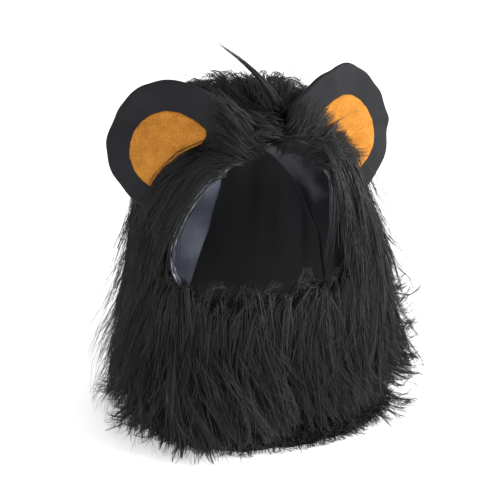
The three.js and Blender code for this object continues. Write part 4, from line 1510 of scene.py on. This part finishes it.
# %% Long loose hair that hangs away from the sides
# Each group: its middle and breadth in degrees, its lowest and highest root, how far out, and how many.
loose = ((-92, 34, 55, 160, 20, 150), (84, 24, 60, 170, 13, 60))
for middle, breadth, low, high, reach, count in loose:
    angle = rng.normal(middle, breadth / 2, count)
    z = rng.uniform(low, high, count)
    root, normal = on_hood(hood_point(angle, way_to(z), 0.0))
    down = -UP * rng.uniform(40, 78, (count, 1))
    away = normal * [1, 1, 0] * (depth_of_fur(root + down * 0.9)[:, None] + rng.uniform(3, reach, (count, 1)))
    across = np.cross(normal, UP) * rng.normal(0, 8, (count, 1))
    end = root + np.minimum(away, 37) + down + across
    end[:, 2] = np.maximum(end[:, 2], 3.0)
    crest = root + away * 0.6 + down * 0.4
    look = {"per_lock": 3, "spread": 2.4, "curl": 1.6, "width": (0.25, 0.42)}
    sets.append(arched_strands(root + normal * CLOTH, crest, end, **look))
    print("loose strands round", middle, "degrees:", look["per_lock"] * count)

# %% [markdown]
# The strands are shared out among five pieces, by where their roots are, so that no piece is too heavy to
# handle.

# %% All the strands of the coat
points, side, width, tone, angle, way = (np.concatenate(column) for column in zip(*sets))
print(len(points), "strands in the coat")

# %% [markdown]
# Hair is counted to the piece where it is rooted, even when it hangs over another. The fur under the chin
# stands for the panel of the solid model there, and the rest for the coat.

# %% Pieces of the coat
CROWN_ABOVE, BIB_BELOW = 186, 97  # heights
BIB_HALF, BACK_FROM = 40.0, 128  # degrees from the front
turn, z = either_side(angle), height_at(way)
regions = {
    "fur_crown": z > CROWN_ABOVE,
    "fur_bib_hair": (np.abs(turn) < BIB_HALF) & (z < BIB_BELOW),
    "fur_back": np.abs(turn) > BACK_FROM,
    "fur_left": turn > 0,
    "fur_right": turn <= 0,
}
taken = np.zeros(len(z), bool)
for name, where in regions.items():
    here = where & ~taken
    taken |= here
    hair = strand_mesh(name, points[here], side[here], width[here], tone[here])
    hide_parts("fur_bib" if name == "fur_bib_hair" else "fur_coat")
    print(name, here.sum(), "strands,", len(hair.data.polygons), "triangles")

# %% [markdown]
# ## The forelock
#
# One long tuft stands up from the whorl and falls over to the wearer's right. Its strands part a little
# near the tip.

# %% The forelock
TUFT = {"angle": 14, "down": 0.17, "over": 39, "back": 14, "height": 56}
count = 80
root = hood_point(TUFT["angle"], WAY_TO_FLOOR * TUFT["down"], 1.0)
across, ahead = rng.normal(0, 2.2, (2, count))
drift_x, drift_y = rng.normal(0, 0.7, (2, count))
share = np.append(rng.uniform(0.6, 0.98, count - 6), [1.0, 1.01, 0.99, 1.0, 1.02, 0.97])
stations = []
for k in np.linspace(0, 1, 10):
    at = k * share
    x = -TUFT["over"] * at**1.8 + across * (1 - 0.93 * at) + drift_x * at
    y = TUFT["back"] * (at**2 - 0.4 * at) + ahead * (1 - 0.93 * at) + drift_y * at
    stations.append(root + np.stack([x, y, TUFT["height"] * at**0.9], axis=-1))
tuft = np.stack(stations, 1)
fan = np.tile([0.0, -1.0, 0.0], (count, 1))
width, tone = rng.uniform(0.5, 0.8, count), rng.uniform(0.1, 0.45, count)
tuft_hair = strand_mesh("forelock", tuft, fan, width, tone)
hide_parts("fur_coat")
print("forelock:", count, "strands")

# %% [markdown]
# ## Fur of the hem
#
# The hem is cut from the same cloth, but its pile is short where it was rolled under, so it looks like a
# fluffy cord.

# %% Short fur on the hem
count = 5000
angle = (np.arange(count) * GOLDEN_ANGLE) % 360 - 180
turn = np.radians(rng.uniform(-62, 128, count))
foot, out = hem_surface(angle, turn)
side = np.cross(out, rng.normal(0, 1, (count, 3)))
side /= np.linalg.norm(side, axis=1, keepdims=True)
lie = np.cross(side, out)
reach = (rng.uniform(5.0, 9.0, count) + rng.exponential(1.6, count))[:, None]
stations = []
for t in (0, 0.36, 0.7, 1):
    stations.append(foot - out * 0.8 + (out * (t - 0.35 * t * t) + lie * 0.55 * t**1.6) * reach)
fuzz = np.stack(stations, 1)
fuzz[..., 2] = np.clip(fuzz[..., 2], 0.4, 19)
near, normal = on_hood(fuzz)
out = np.sum((fuzz - near) * normal, axis=-1)
fuzz += normal * np.maximum(0.5 - out, 0)[..., None]
# Painted light: the hem's short fur gets a lighter tone than the coat, against the shadow that the long hair
# casts on it.
width, tone = rng.uniform(0.4, 0.7, count), rng.uniform(0.6, 1.0, count)
hem_hair = strand_mesh("hem_fluff", fuzz, side, width, tone)
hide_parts("hem_roll")
print("hem:", count, "strands")
